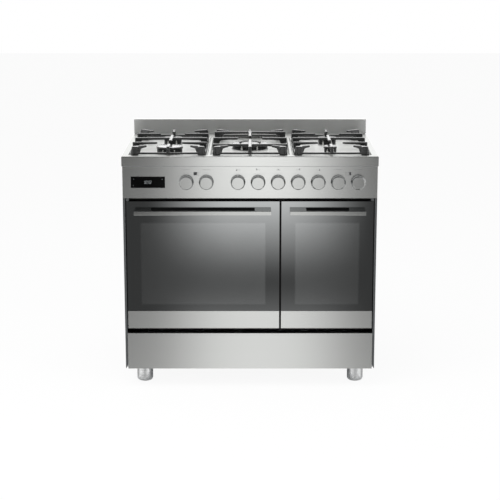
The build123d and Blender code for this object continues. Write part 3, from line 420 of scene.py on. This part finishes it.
# Machined brass of the gas taps and rail.
BRASS = Mottled("brass_machined", "#C9A66B", 0.3, 1.0, second="#B8935A", grain_mm=(8.0, 1.0, 8.0))
# Toughened inner panes: thin, faintly green glass.
CLEAR_GLASS = Mottled("toughened_glass", "#DCE5E1", 0.03, second="#D3DED9", grain_mm=(90.0, 90.0, 90.0),
                      gloss_spread=0.01, shader={"Transmission Weight": 0.92, "IOR": 1.5})
# Black display glass over the clock.
DISPLAY = Mottled("display_glass_black", "#030303", 0.08, second="#050505", grain_mm=(30.0, 30.0, 30.0),
                  gloss_spread=0.02, shader={"Specular IOR Level": 0.15})
# Chromed wire of the racks and shelves, and plated screws.
CHROME = Mottled("chromed_wire", "#C4C6C8", 0.16, 1.0, second="#B2B5B8", grain_mm=(20.0, 20.0, 20.0))
# Sheathed heating element, blued by heat.
ELEMENT = Mottled("incoloy_sheath", "#4B4844", 0.4, 0.9, second="#3C3E44", grain_mm=(9.0, 9.0, 9.0))
# Moulded silicone door seal.
SEAL = Mottled("silicone_seal", "#161616", 0.6, second="#1C1C1C", grain_mm=(2.5, 2.5, 2.5), bump_mm=0.02)
# Needled mineral wool blanket, matted yellow fibres.
WOOL = Mottled("mineral_wool", "#C9BB8A", 0.95, second="#A79A6B", grain_mm=(4.0, 12.0, 2.0),
               bump_mm=1.0, detail=6.0)
# Glazed steatite of the spark electrodes.
CERAMIC = Mottled("steatite_glazed", "#B2B2AF", 0.3, second="#A3A3A0", grain_mm=(2.0, 2.0, 2.0))
# Moulded thermoset of the switch bodies.
PLASTIC = Mottled("moulded_thermoset", "#CFCCC2", 0.5, second="#C4C1B6", grain_mm=(3.0, 3.0, 3.0),
                  bump_mm=0.01)
# Screen-printed marks on the panel.
PRINT = Mottled("printed_ink_grey", "#6A6C6D", 0.6, second="#747677", grain_mm=(0.6, 0.6, 0.6))
# The same, in black, for the oven plans.
INK = Mottled("printed_ink_black", "#2E3031", 0.6, second="#383A3B", grain_mm=(0.6, 0.6, 0.6))
# A thin grey strip of painted shadow under the rim of the hob.
RIM_SHADOW = Mottled("painted_shadow_grey", "#7C7E7F", 0.6, second="#868889", grain_mm=(3.0, 1.0, 1.0))
# Lit segments seen through dark display glass.
SEGMENT = Mottled("display_segment", "#8E9193", 0.5, second="#7F8385", grain_mm=(2.0, 2.0, 2.0),
                  shader={"Emission Strength": 0.12, "Emission Color": linear("#C9CED2")})
# A black sheet of painted shade behind the handle bar.
GAP_SHADE = Mottled("painted_shade_black", "#040404", 0.7, second="#070707", grain_mm=(1.5, 1.5, 1.5),
                bump_mm=0.02, shader={"Specular IOR Level": 0.1})

BY_SLOT: dict[str, Finish] = {
    "brushed_steel": STEEL, "grey_paint": GREY_PAINT, "black_enamel": BLACK_ENAMEL,
    "galvanised_steel": ZINC, "oven_enamel": OVEN_ENAMEL, "cast_iron": CAST_IRON, "cap_enamel": CAP_ENAMEL,
    "burner_aluminium": ALUMINIUM, "brass": BRASS, "clear_glass": CLEAR_GLASS, "display_black": DISPLAY,
    "wire_chrome": CHROME, "element_steel": ELEMENT, "seal_rubber": SEAL, "mineral_wool": WOOL,
    "ceramic": CERAMIC, "switch_plastic": PLASTIC,
}


def paint(frame: dict, node: str, finish: Finish) -> None:
    """Give a CAD node a finish.

    Args:
        frame: The loaded frame.
        node: Name of the node.
        finish: Finish to put on it.
    """
    piece = frame["nodes"][node]
    if not piece.material_slots:
        piece.data.materials.append(None)
    for place in piece.material_slots:
        place.material = finish.material()
    log.info("%s is finished in %s", node, finish.name)


def settle(name: str, mesh: bpy.types.Mesh, finish: Finish | None, body: str) -> Piece:
    """Make a piece of a finished mesh and let it ride a body.

    Args:
        name: Name of the piece.
        mesh: Its mesh, in place.
        finish: Its finish, or None where the mesh has one.
        body: Body that carries it.

    Returns:
        The new piece.
    """
    if finish:
        mesh.materials.clear()
        mesh.materials.append(finish.material())
    mesh.name = name
    piece = bpy.data.objects.new(name, mesh)
    bpy.context.scene.collection.objects.link(piece)
    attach(piece, body)
    log.info("%s: %d faces on %s", name, len(mesh.polygons), body)
    return piece


class Sketch:
    """Flat outlines in the plane of the cooker's front, each pushed out to a thin solid."""

    def __init__(self, back: float, front: float) -> None:
        """Start an empty sketch.

        Args:
            back: Where the solids start along Y.
            front: Where they end along Y.
        """
        self.shape = bmesh.new()
        self.back = back
        self.front = front

    def outline(self, points: Sequence[tuple[float, float]]) -> None:
        """Add a closed outline as a solid.

        Args:
            points: Corners as (x, z), in order.
        """
        rings = [[self.shape.verts.new((x, y, z)) for x, z in points] for y in (self.back, self.front)]
        self.shape.faces.new(rings[0])
        self.shape.faces.new(list(reversed(rings[1])))
        count = len(points)
        for i in range(count):
            j = (i + 1) % count
            self.shape.faces.new((rings[0][j], rings[0][i], rings[1][i], rings[1][j]))

    def bar(self, x: float, z: float, width: float, height: float) -> None:
        """Add a rectangle.

        Args:
            x: Middle along X.
            z: Middle along Z.
            width: Size along X.
            height: Size along Z.
        """
        w, h = width / 2, height / 2
        self.outline([(x - w, z - h), (x + w, z - h), (x + w, z + h), (x - w, z + h)])

    def border(self, x: float, z: float, width: float, height: float, line: float) -> None:
        """Add a rectangle drawn as four lines.

        Args:
            x: Middle along X.
            z: Middle along Z.
            width: Size along X, over the lines.
            height: Size along Z, over the lines.
            line: Width of a line.
        """
        for s in (-1, 1):
            self.bar(x, z + s * (height - line) / 2, width, line)
            self.bar(x + s * (width - line) / 2, z, line, height - 2 * line)

    def ring(self, x: float, z: float, radius: float, line: float, sides: int = 24) -> None:
        """Add a circle drawn as a line, one short solid for each side.

        Args:
            x: Middle along X.
            z: Middle along Z.
            radius: Outer radius.
            line: Width of the line.
            sides: How many straight sides it has.
        """
        turn = 2 * math.pi / sides
        for i in range(sides):
            corners = [(r * math.cos(a), r * math.sin(a)) for r, a in (
                (radius, i * turn), (radius, (i + 1) * turn),
                (radius - line, (i + 1) * turn), (radius - line, i * turn))]
            self.outline([(x + dx, z + dz) for dx, dz in corners])

    def mesh(self) -> bpy.types.Mesh:
        """Return the sketch as a mesh with its faces turned outwards."""
        bmesh.ops.recalc_face_normals(self.shape, faces=self.shape.faces)
        made = bpy.data.meshes.new("sketch")
        self.shape.to_mesh(made)
        self.shape.free()
        return made


def stud_tree(name: str, finish: Finish) -> Tree:
    """Build the Geometry Nodes that set a small disc on every point, facing the front.

    Args:
        name: Name of the tree.
        finish: Finish of the discs.

    Returns:
        The tree, with inputs Radius, Depth and Sides. Each point's own size is its attribute "size".
    """
    tree = bpy.data.node_groups.new(name, "GeometryNodeTree")
    faces = tree.interface
    faces.new_socket("Geometry", in_out="INPUT", socket_type="NodeSocketGeometry")
    faces.new_socket("Radius", in_out="INPUT", socket_type="NodeSocketFloat")
    faces.new_socket("Depth", in_out="INPUT", socket_type="NodeSocketFloat")
    faces.new_socket("Sides", in_out="INPUT", socket_type="NodeSocketInt")
    faces.new_socket("Geometry", in_out="OUTPUT", socket_type="NodeSocketGeometry")
    given = add_node(tree, "NodeGroupInput").outputs
    disc = add_node(tree, "GeometryNodeMeshCylinder", inputs={
        "Vertices": given["Sides"], "Radius": given["Radius"], "Depth": given["Depth"]})
    faced = add_node(tree, "GeometryNodeTransform", inputs={
        "Geometry": disc.outputs["Mesh"], "Rotation": (math.pi / 2, 0.0, 0.0)})
    size = add_node(tree, "GeometryNodeInputNamedAttribute", {"data_type": "FLOAT"}, {"Name": "size"})
    scale = add_node(tree, "ShaderNodeCombineXYZ", inputs={
        0: size.outputs["Attribute"], 1: 1.0, 2: size.outputs["Attribute"]})
    placed = add_node(tree, "GeometryNodeInstanceOnPoints", inputs={
        "Points": given["Geometry"], "Instance": faced.outputs[0], "Scale": scale.outputs[0]})
    real = add_node(tree, "GeometryNodeRealizeInstances", inputs={"Geometry": placed.outputs[0]})
    dressed = add_node(tree, "GeometryNodeSetMaterial", inputs={
        "Geometry": real.outputs[0], "Material": finish.material()})
    add_node(tree, "NodeGroupOutput", inputs={"Geometry": dressed.outputs[0]})
    return tree


def grown(tree: Tree, points: Iterable[tuple[Point, float]], values: dict[str, float]) -> bpy.types.Mesh:
    """Run a Geometry Nodes tree on a set of points and keep the result as a plain mesh.

    Args:
        tree: Tree to run.
        points: Place and size of each point.
        values: The tree's inputs by name.

    Returns:
        The mesh.
    """
    points = list(points)
    seed = bpy.data.meshes.new("seed")
    seed.from_pydata([place for place, _ in points], [], [])
    sizes = seed.attributes.new("size", "FLOAT", "POINT")
    sizes.data.foreach_set("value", [size for _, size in points])
    holder = bpy.data.objects.new("seed", seed)
    bpy.context.scene.collection.objects.link(holder)
    steps = holder.modifiers.new("grow", "NODES")
    steps.node_group = tree
    for item in tree.interface.items_tree:
        if item.in_out == "INPUT" and item.name in values:
            steps[item.identifier] = values[item.name]
    view = bpy.context.evaluated_depsgraph_get()
    made = bpy.data.meshes.new_from_object(
        holder.evaluated_get(view), preserve_all_data_layers=True, depsgraph=view)
    holder.modifiers.remove(steps)
    bpy.data.objects.remove(holder)
    return made


# The bars that each figure of the clock lights: a is the top one, then clockwise to f, and g is the middle.
FIGURES = {"0": "abcdef", "1": "bc", "2": "abged", "3": "abgcd", "4": "fgbc", "5": "afgcd",
           "6": "afgedc", "7": "abc", "8": "abcdefg", "9": "abcdfg"}


@dataclass
class ControlPanel:
    """The fascia: its knobs, clock and printed marks."""

    frame: dict
    time: str = "00:02"
    # The painted shadow line at the joint with the rim, and the height of the marks
    ink: float = 0.12 * MM
    shadow_line: float = 1.2 * MM
    shadow_line_short: float = 4.8 * MM
    mark_z: float = 798.6 * MM
    oven_mark_z: float = 784.5 * MM
    # Plans of the burners, plans of the ovens, and the scales of the oven knobs
    column_pitch: float = 4.6 * MM
    row_pitch: float = 3.6 * MM
    dot: float = 0.95 * MM
    dot_sides: int = 14
    own_dot: float = 2.3
    plan_widths: tuple[float, float] = (12.0 * MM, 6.0 * MM)
    plan_gap: float = 1.0 * MM
    plan_height: float = 11.0 * MM
    plan_line: float = 0.5 * MM
    scale_dots: int = 8
    scale_pitch: float = 3.2 * MM
    scale_dot: float = 1.1 * MM
    scale_sides: int = 4
    # Figures and touch marks of the clock
    digit_width: float = 3.9 * MM
    digit_height: float = 10.8 * MM
    digit_space: float = 1.87 * MM
    colon_share: float = 0.5
    stroke: float = 0.85 * MM
    stroke_trim: float = 0.595 * MM
    touch_inset: float = 10.0 * MM
    touch_drop: float = 9.0 * MM
    touch_size: float = 1.25 * MM
    touch_line: float = 0.4 * MM
    touch_step: float = 0.8 * MM
    touch_under: float = 1.5 * MM
    # Tabs at the ends of the air slot
    tab_width: float = 10.0 * MM
    tab_sheet: float = 1.2 * MM
    tab_set: float = 2.0 * MM
    tab_gap: float = 0.8 * MM
    tab_cut: float = 2.4 * MM
    gas_order: tuple[str, ...] = ("left_front", "left_rear", "centre", "right_rear", "right_front")
    oven_order: tuple[str, ...] = (
        "main_function", "main_temperature", "second_function", "second_temperature")

    def middle(self, node: str) -> tuple[float, float]:
        """Return where the middle of a node stands on the front, as x and z."""
        low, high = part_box(node)
        return (low.x + high.x) / 2, (low.z + high.z) / 2

    def dress(self) -> None:
        """Finish the knobs."""
        for name in self.gas_order + self.oven_order:
            paint(self.frame, f"knob_{name}", KNOB_STEEL)

    def figure(self, sketch: Sketch, char: str, x: float, z: float) -> None:
        """Draw one figure of up to seven bars, or the two dots of the colon.

        Args:
            sketch: Sketch that gets the bars.
            char: The figure, or a colon.
            x: Its middle along X.
            z: Its middle along Z.
        """
        w, h, cut = self.digit_width / 2, self.digit_height / 2, self.stroke / 2
        if char == ":":
            for s in (-1, 1):
                sketch.bar(x, z + s * h / 2, self.stroke, self.stroke)
        spots = {"a": (0, h, True), "g": (0, 0, True), "d": (0, -h, True), "f": (-w, h / 2, False),
                 "b": (w, h / 2, False), "e": (-w, -h / 2, False), "c": (w, -h / 2, False)}
        for key in FIGURES.get(char, ""):
            dx, dz, flat = spots[key]
            half = ((self.digit_width if flat else h) - self.stroke_trim) / 2
            bar = [(-half, 0), (-half + cut, cut), (half - cut, cut),
                   (half, 0), (half - cut, -cut), (-half + cut, -cut)]
            turned = bar if flat else [(b, a) for a, b in bar]
            sketch.outline([(x + dx + a, z + dz + b) for a, b in turned])

    def touch_marks(self, sketch: Sketch) -> None:
        """Draw the three touch marks in the corners of the display: a ring, two strokes and an arrow.

        Args:
            sketch: Sketch that gets the marks.
        """
        low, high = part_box("clock_display")
        left, right = low.x + self.touch_inset, high.x - self.touch_inset
        top, foot, size = high.z - self.touch_drop, low.z + self.touch_drop, self.touch_size
        sketch.ring(left, foot, size, self.touch_line)
        sketch.bar(left, top, 2 * size, self.touch_line)
        sketch.bar(left, top - self.touch_step, self.touch_under, self.touch_line)
        sketch.outline([(right - size, top - size), (right + size, top - size), (right, top + size)])

    def clock(self) -> None:
        """Light the time and the touch marks on the display glass."""
        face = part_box("clock_display")[0].y
        sketch = Sketch(face, face - self.ink)
        pitch = self.digit_width + self.digit_space
        widths = [pitch * (self.colon_share if c == ":" else 1.0) for c in self.time]
        x, z = self.middle("clock_display")
        x -= sum(widths) / 2
        for char, width in zip(self.time, widths):
            self.figure(sketch, char, x + width / 2, z)
            x += width
        self.touch_marks(sketch)
        settle("clock_digits", sketch.mesh(), SEGMENT, "carcass")

    def burner_marks(self, face: float) -> None:
        """Print a plan of the burners over each gas knob, with its own burner drawn large.

        Args:
            face: Where the face of the panel is along Y.
        """
        spots = {"left_front": (-1, -1), "left_rear": (-1, 1), "centre": (0, 0), "right_rear": (1, 1),
                 "right_front": (1, -1)}
        points = []
        for name in self.gas_order:
            x, _ = self.middle(f"knob_{name}")
            for other, (column, row) in spots.items():
                place = (x + column * self.column_pitch, face - self.ink / 2,
                         self.mark_z + row * self.row_pitch / 2)
                points.append((place, self.own_dot if other == name else 1.0))
        tree = stud_tree("burner_plan", PRINT)
        mesh = grown(tree, points, {"Radius": self.dot, "Depth": self.ink, "Sides": self.dot_sides})
        settle("burner_marks", mesh, None, "carcass")

    def oven_marks(self, face: float) -> None:
        """Print which oven each pair of knobs serves, and a short scale over each of those knobs.

        Args:
            face: Where the face of the panel is along Y.
        """
        sketch = Sketch(face, face - self.ink)
        reach = (sum(self.plan_widths) + self.plan_gap) / 2
        for pair, filled in ((self.oven_order[:2], 0), (self.oven_order[2:], 1)):
            mid = sum(self.middle(f"knob_{name}")[0] for name in pair) / 2
            middles = (mid - reach + self.plan_widths[0] / 2, mid + reach - self.plan_widths[1] / 2)
            for i, (x, width) in enumerate(zip(middles, self.plan_widths)):
                if i == filled:
                    sketch.bar(x, self.oven_mark_z, width, self.plan_height)
                else:
                    sketch.border(x, self.oven_mark_z, width, self.plan_height, self.plan_line)
        settle("oven_marks", sketch.mesh(), INK, "carcass")
        points = []
        for name in self.oven_order:
            x, _ = self.middle(f"knob_{name}")
            start = x - (self.scale_dots - 1) / 2 * self.scale_pitch
            points += [((start + i * self.scale_pitch, face - self.ink / 2, self.mark_z), 1.0)
                       for i in range(self.scale_dots)]
        tree = stud_tree("knob_scale", PRINT)
        mesh = grown(tree, points, {"Radius": self.scale_dot, "Depth": self.ink, "Sides": self.scale_sides})
        settle("knob_scales", mesh, None, "carcass")

    def joint(self) -> None:
        """Lay a thin grey strip of painted shadow along the joint between the panel and the rim of the hob
        above it.
        """
        low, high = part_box("control_panel")
        # Painted shadow: a grey strip where the rim's overhang throws its shade on the panel.
        sketch = Sketch(low.y, low.y - self.shadow_line)
        sketch.bar((low.x + high.x) / 2, high.z - self.shadow_line / 2, high.x - low.x - self.shadow_line_short, self.shadow_line)
        settle("rim_joint", sketch.mesh(), RIM_SHADOW, "carcass")

    def slot_ends(self) -> None:
        """Close both ends of the air slot under the panel with a small tab, its free corner cut off."""
        low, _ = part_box("control_panel")
        main_low, main_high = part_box("main_door_glass")
        _, second_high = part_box("second_door_glass")
        foot, head, cut = main_high.z + self.tab_gap, low.z, self.tab_cut
        sketch = Sketch(low.y + self.tab_set + self.tab_sheet, low.y + self.tab_set)
        for edge, way in ((main_low.x, 1), (second_high.x, -1)):
            tip = edge + way * self.tab_width
            sketch.outline([(edge, foot), (tip - way * cut, foot), (tip, foot + cut), (tip, head),
                            (edge, head)])
        settle("slot_ends", sketch.mesh(), GREY_PAINT, "carcass")

    def build(self) -> None:
        """Finish the panel and add all that is printed or lit on it."""
        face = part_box("control_panel")[0].y
        self.dress()
        self.joint()
        self.slot_ends()
        self.clock()
        self.burner_marks(face)
        self.oven_marks(face)


@dataclass
class OvenDoor:
    """One drop door: coated glass with its window, a steel strip and a bar handle."""

    frame: dict
    name: str
    window_side: float = 46 * MM
    window_top: float = 74 * MM
    window_bottom: float = 21 * MM
    block: float = 57 * MM
    shade_sheet: float = 1.5 * MM
    shade_sheet_over: float = 6.0 * MM
    shade_sheet_gap: float = 1.0 * MM
    coating: str = "#A4A6A6"
    polish: float = 0.035

    def build(self) -> None:
        """Finish the pane and the handle, and put a black sheet of painted shade in the finger gap."""
        low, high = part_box(f"{self.name}_door_glass")
        glass = CoatedGlass(
            f"coated_glass_{self.name}", self.coating, self.polish, 1.0,
            low=(low.x + self.window_side, low.z + self.window_bottom),
            high=(high.x - self.window_side, high.z - self.window_top))
        paint(self.frame, f"{self.name}_door_glass", glass)
        paint(self.frame, f"{self.name}_door_handle", BAR_STEEL)
        handle_low, handle_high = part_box(f"{self.name}_door_handle")
        # Painted shade: a black sheet on the glass between the handle's end blocks.
        sketch = Sketch(low.y, low.y - self.shade_sheet)
        sketch.bar((handle_low.x + handle_high.x) / 2, (handle_low.z + handle_high.z + self.shade_sheet_over) / 2,
                   handle_high.x - handle_low.x - 2 * self.block - self.shade_sheet_gap,
                   handle_high.z - handle_low.z + self.shade_sheet_over)
        settle(f"{self.name}_finger_plate", sketch.mesh(), GAP_SHADE, f"{self.name}_door")


@dataclass
class Hob:
    """The hob: steel top, burners, and cast pan supports with soft, sand-cast edges."""

    frame: dict
    weld: float = 0.01 * MM
    voxel: float = 1.7 * MM
    ease: float = 0.5
    rounds: int = 6
    columns: tuple[str, ...] = ("left", "centre", "right")

    def casting(self, node: str) -> None:
        """Replace a pan support by a casting of the same form with its edges run round.

        Args:
            node: Name of the support's node.
        """
        mesh = self.frame["nodes"][node].data.copy()
        shape = bmesh.new()
        shape.from_mesh(mesh)
        bmesh.ops.remove_doubles(shape, verts=shape.verts, dist=self.weld)
        shape.to_mesh(mesh)
        shape.free()
        holder = bpy.data.objects.new("pattern", mesh)
        bpy.context.scene.collection.objects.link(holder)
        skin = holder.modifiers.new("skin", "REMESH")
        skin.mode = "VOXEL"
        skin.voxel_size = self.voxel
        skin.use_smooth_shade = True
        soft = holder.modifiers.new("soft", "SMOOTH")
        soft.factor = self.ease
        soft.iterations = self.rounds
        view = bpy.context.evaluated_depsgraph_get()
        cast = bpy.data.meshes.new_from_object(holder.evaluated_get(view), depsgraph=view)
        bpy.data.objects.remove(holder)
        piece = settle(f"cast_{node}", cast, CAST_IRON, node)
        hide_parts(node)

    def build(self) -> None:
        """Finish the hob and make the castings."""
        paint(self.frame, "hob_top", HOB_STEEL)
        paint(self.frame, "splashback", SPLASH_STEEL)
        paint(self.frame, "burner_bodies", CROWN)
        for column in self.columns:
            self.casting(f"pan_support_{column}")


@dataclass(frozen=True)
class Lamp:
    """One soft square lamp: its place and edge in metres, and its power in watts."""

    name: str
    place: Point
    size: float
    power: float

    def hang(self, aim: Point) -> None:
        """Hang the lamp, pointed at a place, so that only its light is seen.

        Args:
            aim: Where it points, in metres.
        """
        data = bpy.data.lights.new(self.name, "AREA")
        data.size = self.size
        data.energy = self.power
        lamp = bpy.data.objects.new(self.name, data)
        lamp.location = self.place
        way = Vector(aim) - Vector(self.place)
        lamp.rotation_euler = way.to_track_quat("-Z", "Y").to_euler()
        lamp.visible_glossy = False
        lamp.visible_camera = False
        bpy.context.scene.collection.objects.link(lamp)


@dataclass
class Studio:
    """A white room with tall soft lamps in front, a pale floor, and the camera of the photograph."""

    # The camera: focal length in mm, place in m, tilt in radians
    lens: float = 103.25
    shift_x: float = -0.001
    stand: Point = (0.0018, -5.2385, 1.6222)
    tilt: float = 0.2205
    # The room that polished faces see: its edges in degrees, the wall's along Y, and its brightness
    lamp_pitch: float = 24.0
    lamp_turn: float = 0.36
    lamp_side: tuple[float, float] = (0.9, 4.7)
    pool_side: tuple[float, float] = (1.7, 4.8)
    wall_edge: tuple[float, float] = (-0.15, 0.35)
    lamp_glow: float = 1.6
    lamp_foot: tuple[float, float] = (-14.2, -9.0)
    lamp_head: tuple[float, float] = (60.0, 5.0)
    pool_glow: float = 0.6
    pool_edge: tuple[float, float] = (-13.3, -18.0)
    dark: float = 0.09
    flank: float = 0.4
    flank_edge: tuple[float, float] = (16.0, 40.0)
    wall: float = 1.6
    wall_low: float = 0.45
    wall_foot: tuple[float, float] = (-9.0, 0.0)
    ground: float = 0.6
    ground_edge: tuple[float, float] = (-15.2, -19.0)
    # Light from all round, the floor, and the lamps that light the matt faces
    ambient: float = 0.55
    floor_reach: float = 14.0
    floor_front: float = 0.06
    floor_glow: float = 0.92
    floor_colour: str = "#F4F4F4"
    white: str = "#FFFFFF"
    aim: Point = (0.0, 0.0, 0.5)
    lamps: tuple[Lamp, ...] = (
        Lamp("lamp_over", (-0.6, -1.6, 3.6), 2.6, 70.0),
        Lamp("lamp_left", (-3.2, -2.4, 2.2), 2.0, 40.0),
        Lamp("lamp_right", (3.2, -2.4, 2.2), 2.0, 40.0),
    )

    def camera(self) -> None:
        """Stand the camera where the photograph was taken from."""
        data = bpy.data.cameras.new("camera")
        data.lens = self.lens
        data.shift_x = self.shift_x
        eye = bpy.data.objects.new("camera", data)
        eye.location = self.stand
        eye.rotation_euler = (math.pi / 2 - self.tilt, 0.0, 0.0)
        bpy.context.scene.collection.objects.link(eye)
        bpy.context.scene.camera = eye

    def in_front(self, tree: Tree, turn: Socket, rise: Socket) -> Socket:
        """Paint what polished faces see in front of them: tall lamps over a lit ground, dark between them.

        Args:
            tree: Tree of the world.
            turn: Bearing of a ray from straight ahead, in degrees.
            rise: Its height over the horizon, in degrees.

        Returns:
            Socket of the brightness.
        """
        centred = add_node(tree, MATHS, Sum.LESS.value, (turn, self.lamp_turn)).outputs[0]
        off = add_node(tree, MATHS, Sum.FOLD.value, (centred, self.lamp_pitch / 2)).outputs[0]
        across = add_node(tree, RANGE, Blend.SOFT.value, (off, *self.lamp_side, 1.0, 0.0)).outputs[0]
        foot = add_node(tree, RANGE, Blend.SOFT.value, (rise, *self.lamp_foot)).outputs[0]
        head = add_node(tree, RANGE, Blend.SOFT.value, (rise, *self.lamp_head, 0.0, self.lamp_glow))
        column = add_node(tree, MATHS, Sum.TIMES.value, (foot, head.outputs[0])).outputs[0]
        lamps = add_node(tree, MATHS, Sum.TIMES.value, (across, column)).outputs[0]
        spread = add_node(tree, RANGE, Blend.SOFT.value, (off, *self.pool_side, 1.0, 0.0)).outputs[0]
        low = add_node(tree, RANGE, Blend.SOFT.value, (rise, *self.pool_edge, 0.0, self.pool_glow))
        lit = add_node(tree, MATHS, Sum.TIMES_ADD.value, (spread, low.outputs[0], lamps)).outputs[0]
        below = add_node(tree, RANGE, Blend.SOFT.value, (rise, *self.ground_edge, 0.0, self.ground))
        aside = add_node(tree, MATHS, Sum.SIZE.value, (turn,)).outputs[0]
        flank = add_node(tree, RANGE, inputs=(aside, *self.flank_edge, self.dark, self.dark + self.flank))
        base = add_node(tree, MATHS, Sum.ADD.value, (below.outputs[0], flank.outputs[0])).outputs[0]
        return add_node(tree, MATHS, Sum.ADD.value, (lit, base)).outputs[0]

    def world(self) -> None:
        """Surround the cooker: white to the eye, and for reflections a wall behind and lamps in front."""
        room = bpy.data.worlds.new("white_room")
        bpy.context.scene.world = room
        room.use_nodes = True
        tree = room.node_tree
        tree.nodes.clear()
        way = add_node(tree, "ShaderNodeTexCoord").outputs["Generated"]
        x, y, z = add_node(tree, "ShaderNodeSeparateXYZ", inputs=(way,)).outputs
        ahead = add_node(tree, MATHS, Sum.TIMES.value, (y, -1.0)).outputs[0]
        bearing = add_node(tree, MATHS, Sum.BEARING.value, (x, ahead)).outputs[0]
        turn = add_node(tree, MATHS, Sum.TIMES.value, (bearing, DEGREES)).outputs[0]
        height = add_node(tree, MATHS, Sum.RISE.value, (z,)).outputs[0]
        rise = add_node(tree, MATHS, Sum.TIMES.value, (height, DEGREES)).outputs[0]
        front = self.in_front(tree, turn, rise)
        backward = add_node(tree, RANGE, Blend.SOFT.value, (y, *self.wall_edge)).outputs[0]
        wall = add_node(tree, RANGE, Blend.SOFT.value, (rise, *self.wall_foot, self.wall_low, self.wall))
        seen = add_node(tree, MIX, inputs={0: backward, 2: front, 3: wall.outputs[0]}).outputs[0]
        ray = add_node(tree, "ShaderNodeLightPath").outputs
        mirrored = add_node(tree, MATHS, Sum.LARGER.value, (ray["Is Glossy Ray"], ray["Is Transmission Ray"]))
        other = add_node(tree, MIX, inputs={0: mirrored.outputs[0], 2: self.ambient, 3: seen}).outputs[0]
        level = add_node(tree, MIX, inputs={0: ray["Is Camera Ray"], 2: other, 3: 1.0}).outputs[0]
        glow = add_node(tree, "ShaderNodeBackground", inputs={"Color": linear(self.white), "Strength": level})
        add_node(tree, "ShaderNodeOutputWorld", inputs={"Surface": glow.outputs[0]})

    def floor(self) -> None:
        """Lay a pale floor, white to the eye; polished pieces see only the shaded part below the cooker."""
        made = bpy.data.materials.new("studio_floor_white")
        made.use_nodes = True
        tree = made.node_tree
        tree.nodes.clear()
        matt = add_node(tree, "ShaderNodeBsdfDiffuse", inputs={"Color": linear(self.floor_colour)})
        glow = add_node(tree, "ShaderNodeEmission", inputs={"Color": linear(self.white), "Strength": 1.0})
        ray = add_node(tree, "ShaderNodeLightPath").outputs
        share = add_node(tree, MATHS, Sum.TIMES.value, (ray["Is Camera Ray"], self.floor_glow))
        mixed = add_node(tree, "ShaderNodeMixShader", inputs=(
            share.outputs[0], matt.outputs[0], glow.outputs[0]))
        add_node(tree, "ShaderNodeOutputMaterial", inputs={"Surface": mixed.outputs[0]})
        low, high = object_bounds()
        edges_x = (-self.floor_reach, low[0], high[0], self.floor_reach)
        edges_y = (-self.floor_reach, low[1] + self.floor_front, high[1], self.floor_reach)
        for i in range(3):
            for j in range(3):
                (x0, x1), (y0, y1) = edges_x[i:i + 2], edges_y[j:j + 2]
                mesh = bpy.data.meshes.new(f"floor_{i}_{j}")
                mesh.from_pydata([(x0, y0, 0), (x1, y0, 0), (x1, y1, 0), (x0, y1, 0)], [], [(0, 1, 2, 3)])
                mesh.materials.append(made)
                ground = bpy.data.objects.new(mesh.name, mesh)
                bpy.context.scene.collection.objects.link(ground)
                ground.visible_glossy = i == j == 1
                ground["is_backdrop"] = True

    def build(self) -> None:
        """Set the room, floor, lamps and camera."""
        bpy.context.scene.view_settings.view_transform = "Standard"
        self.world()
        self.floor()
        for lamp in self.lamps:
            lamp.hang(self.aim)
        self.camera()


def main() -> None:
    """Load the frame, dress every part, and set the studio."""
    logging.basicConfig(level=logging.INFO, format="%(message)s")
    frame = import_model()
    for part in frame["record"]["subparts"]:
        finish = BY_SLOT.get(part["material_slot"])
        if finish:
            paint(frame, part["node"], finish)
    paint(frame, "feet", FOOT_STEEL)
    ControlPanel(frame).build()
    for name in ("main", "second"):
        OvenDoor(frame, name).build()
    Hob(frame).build()
    Studio().build()


if __name__ == "__main__":
    main()
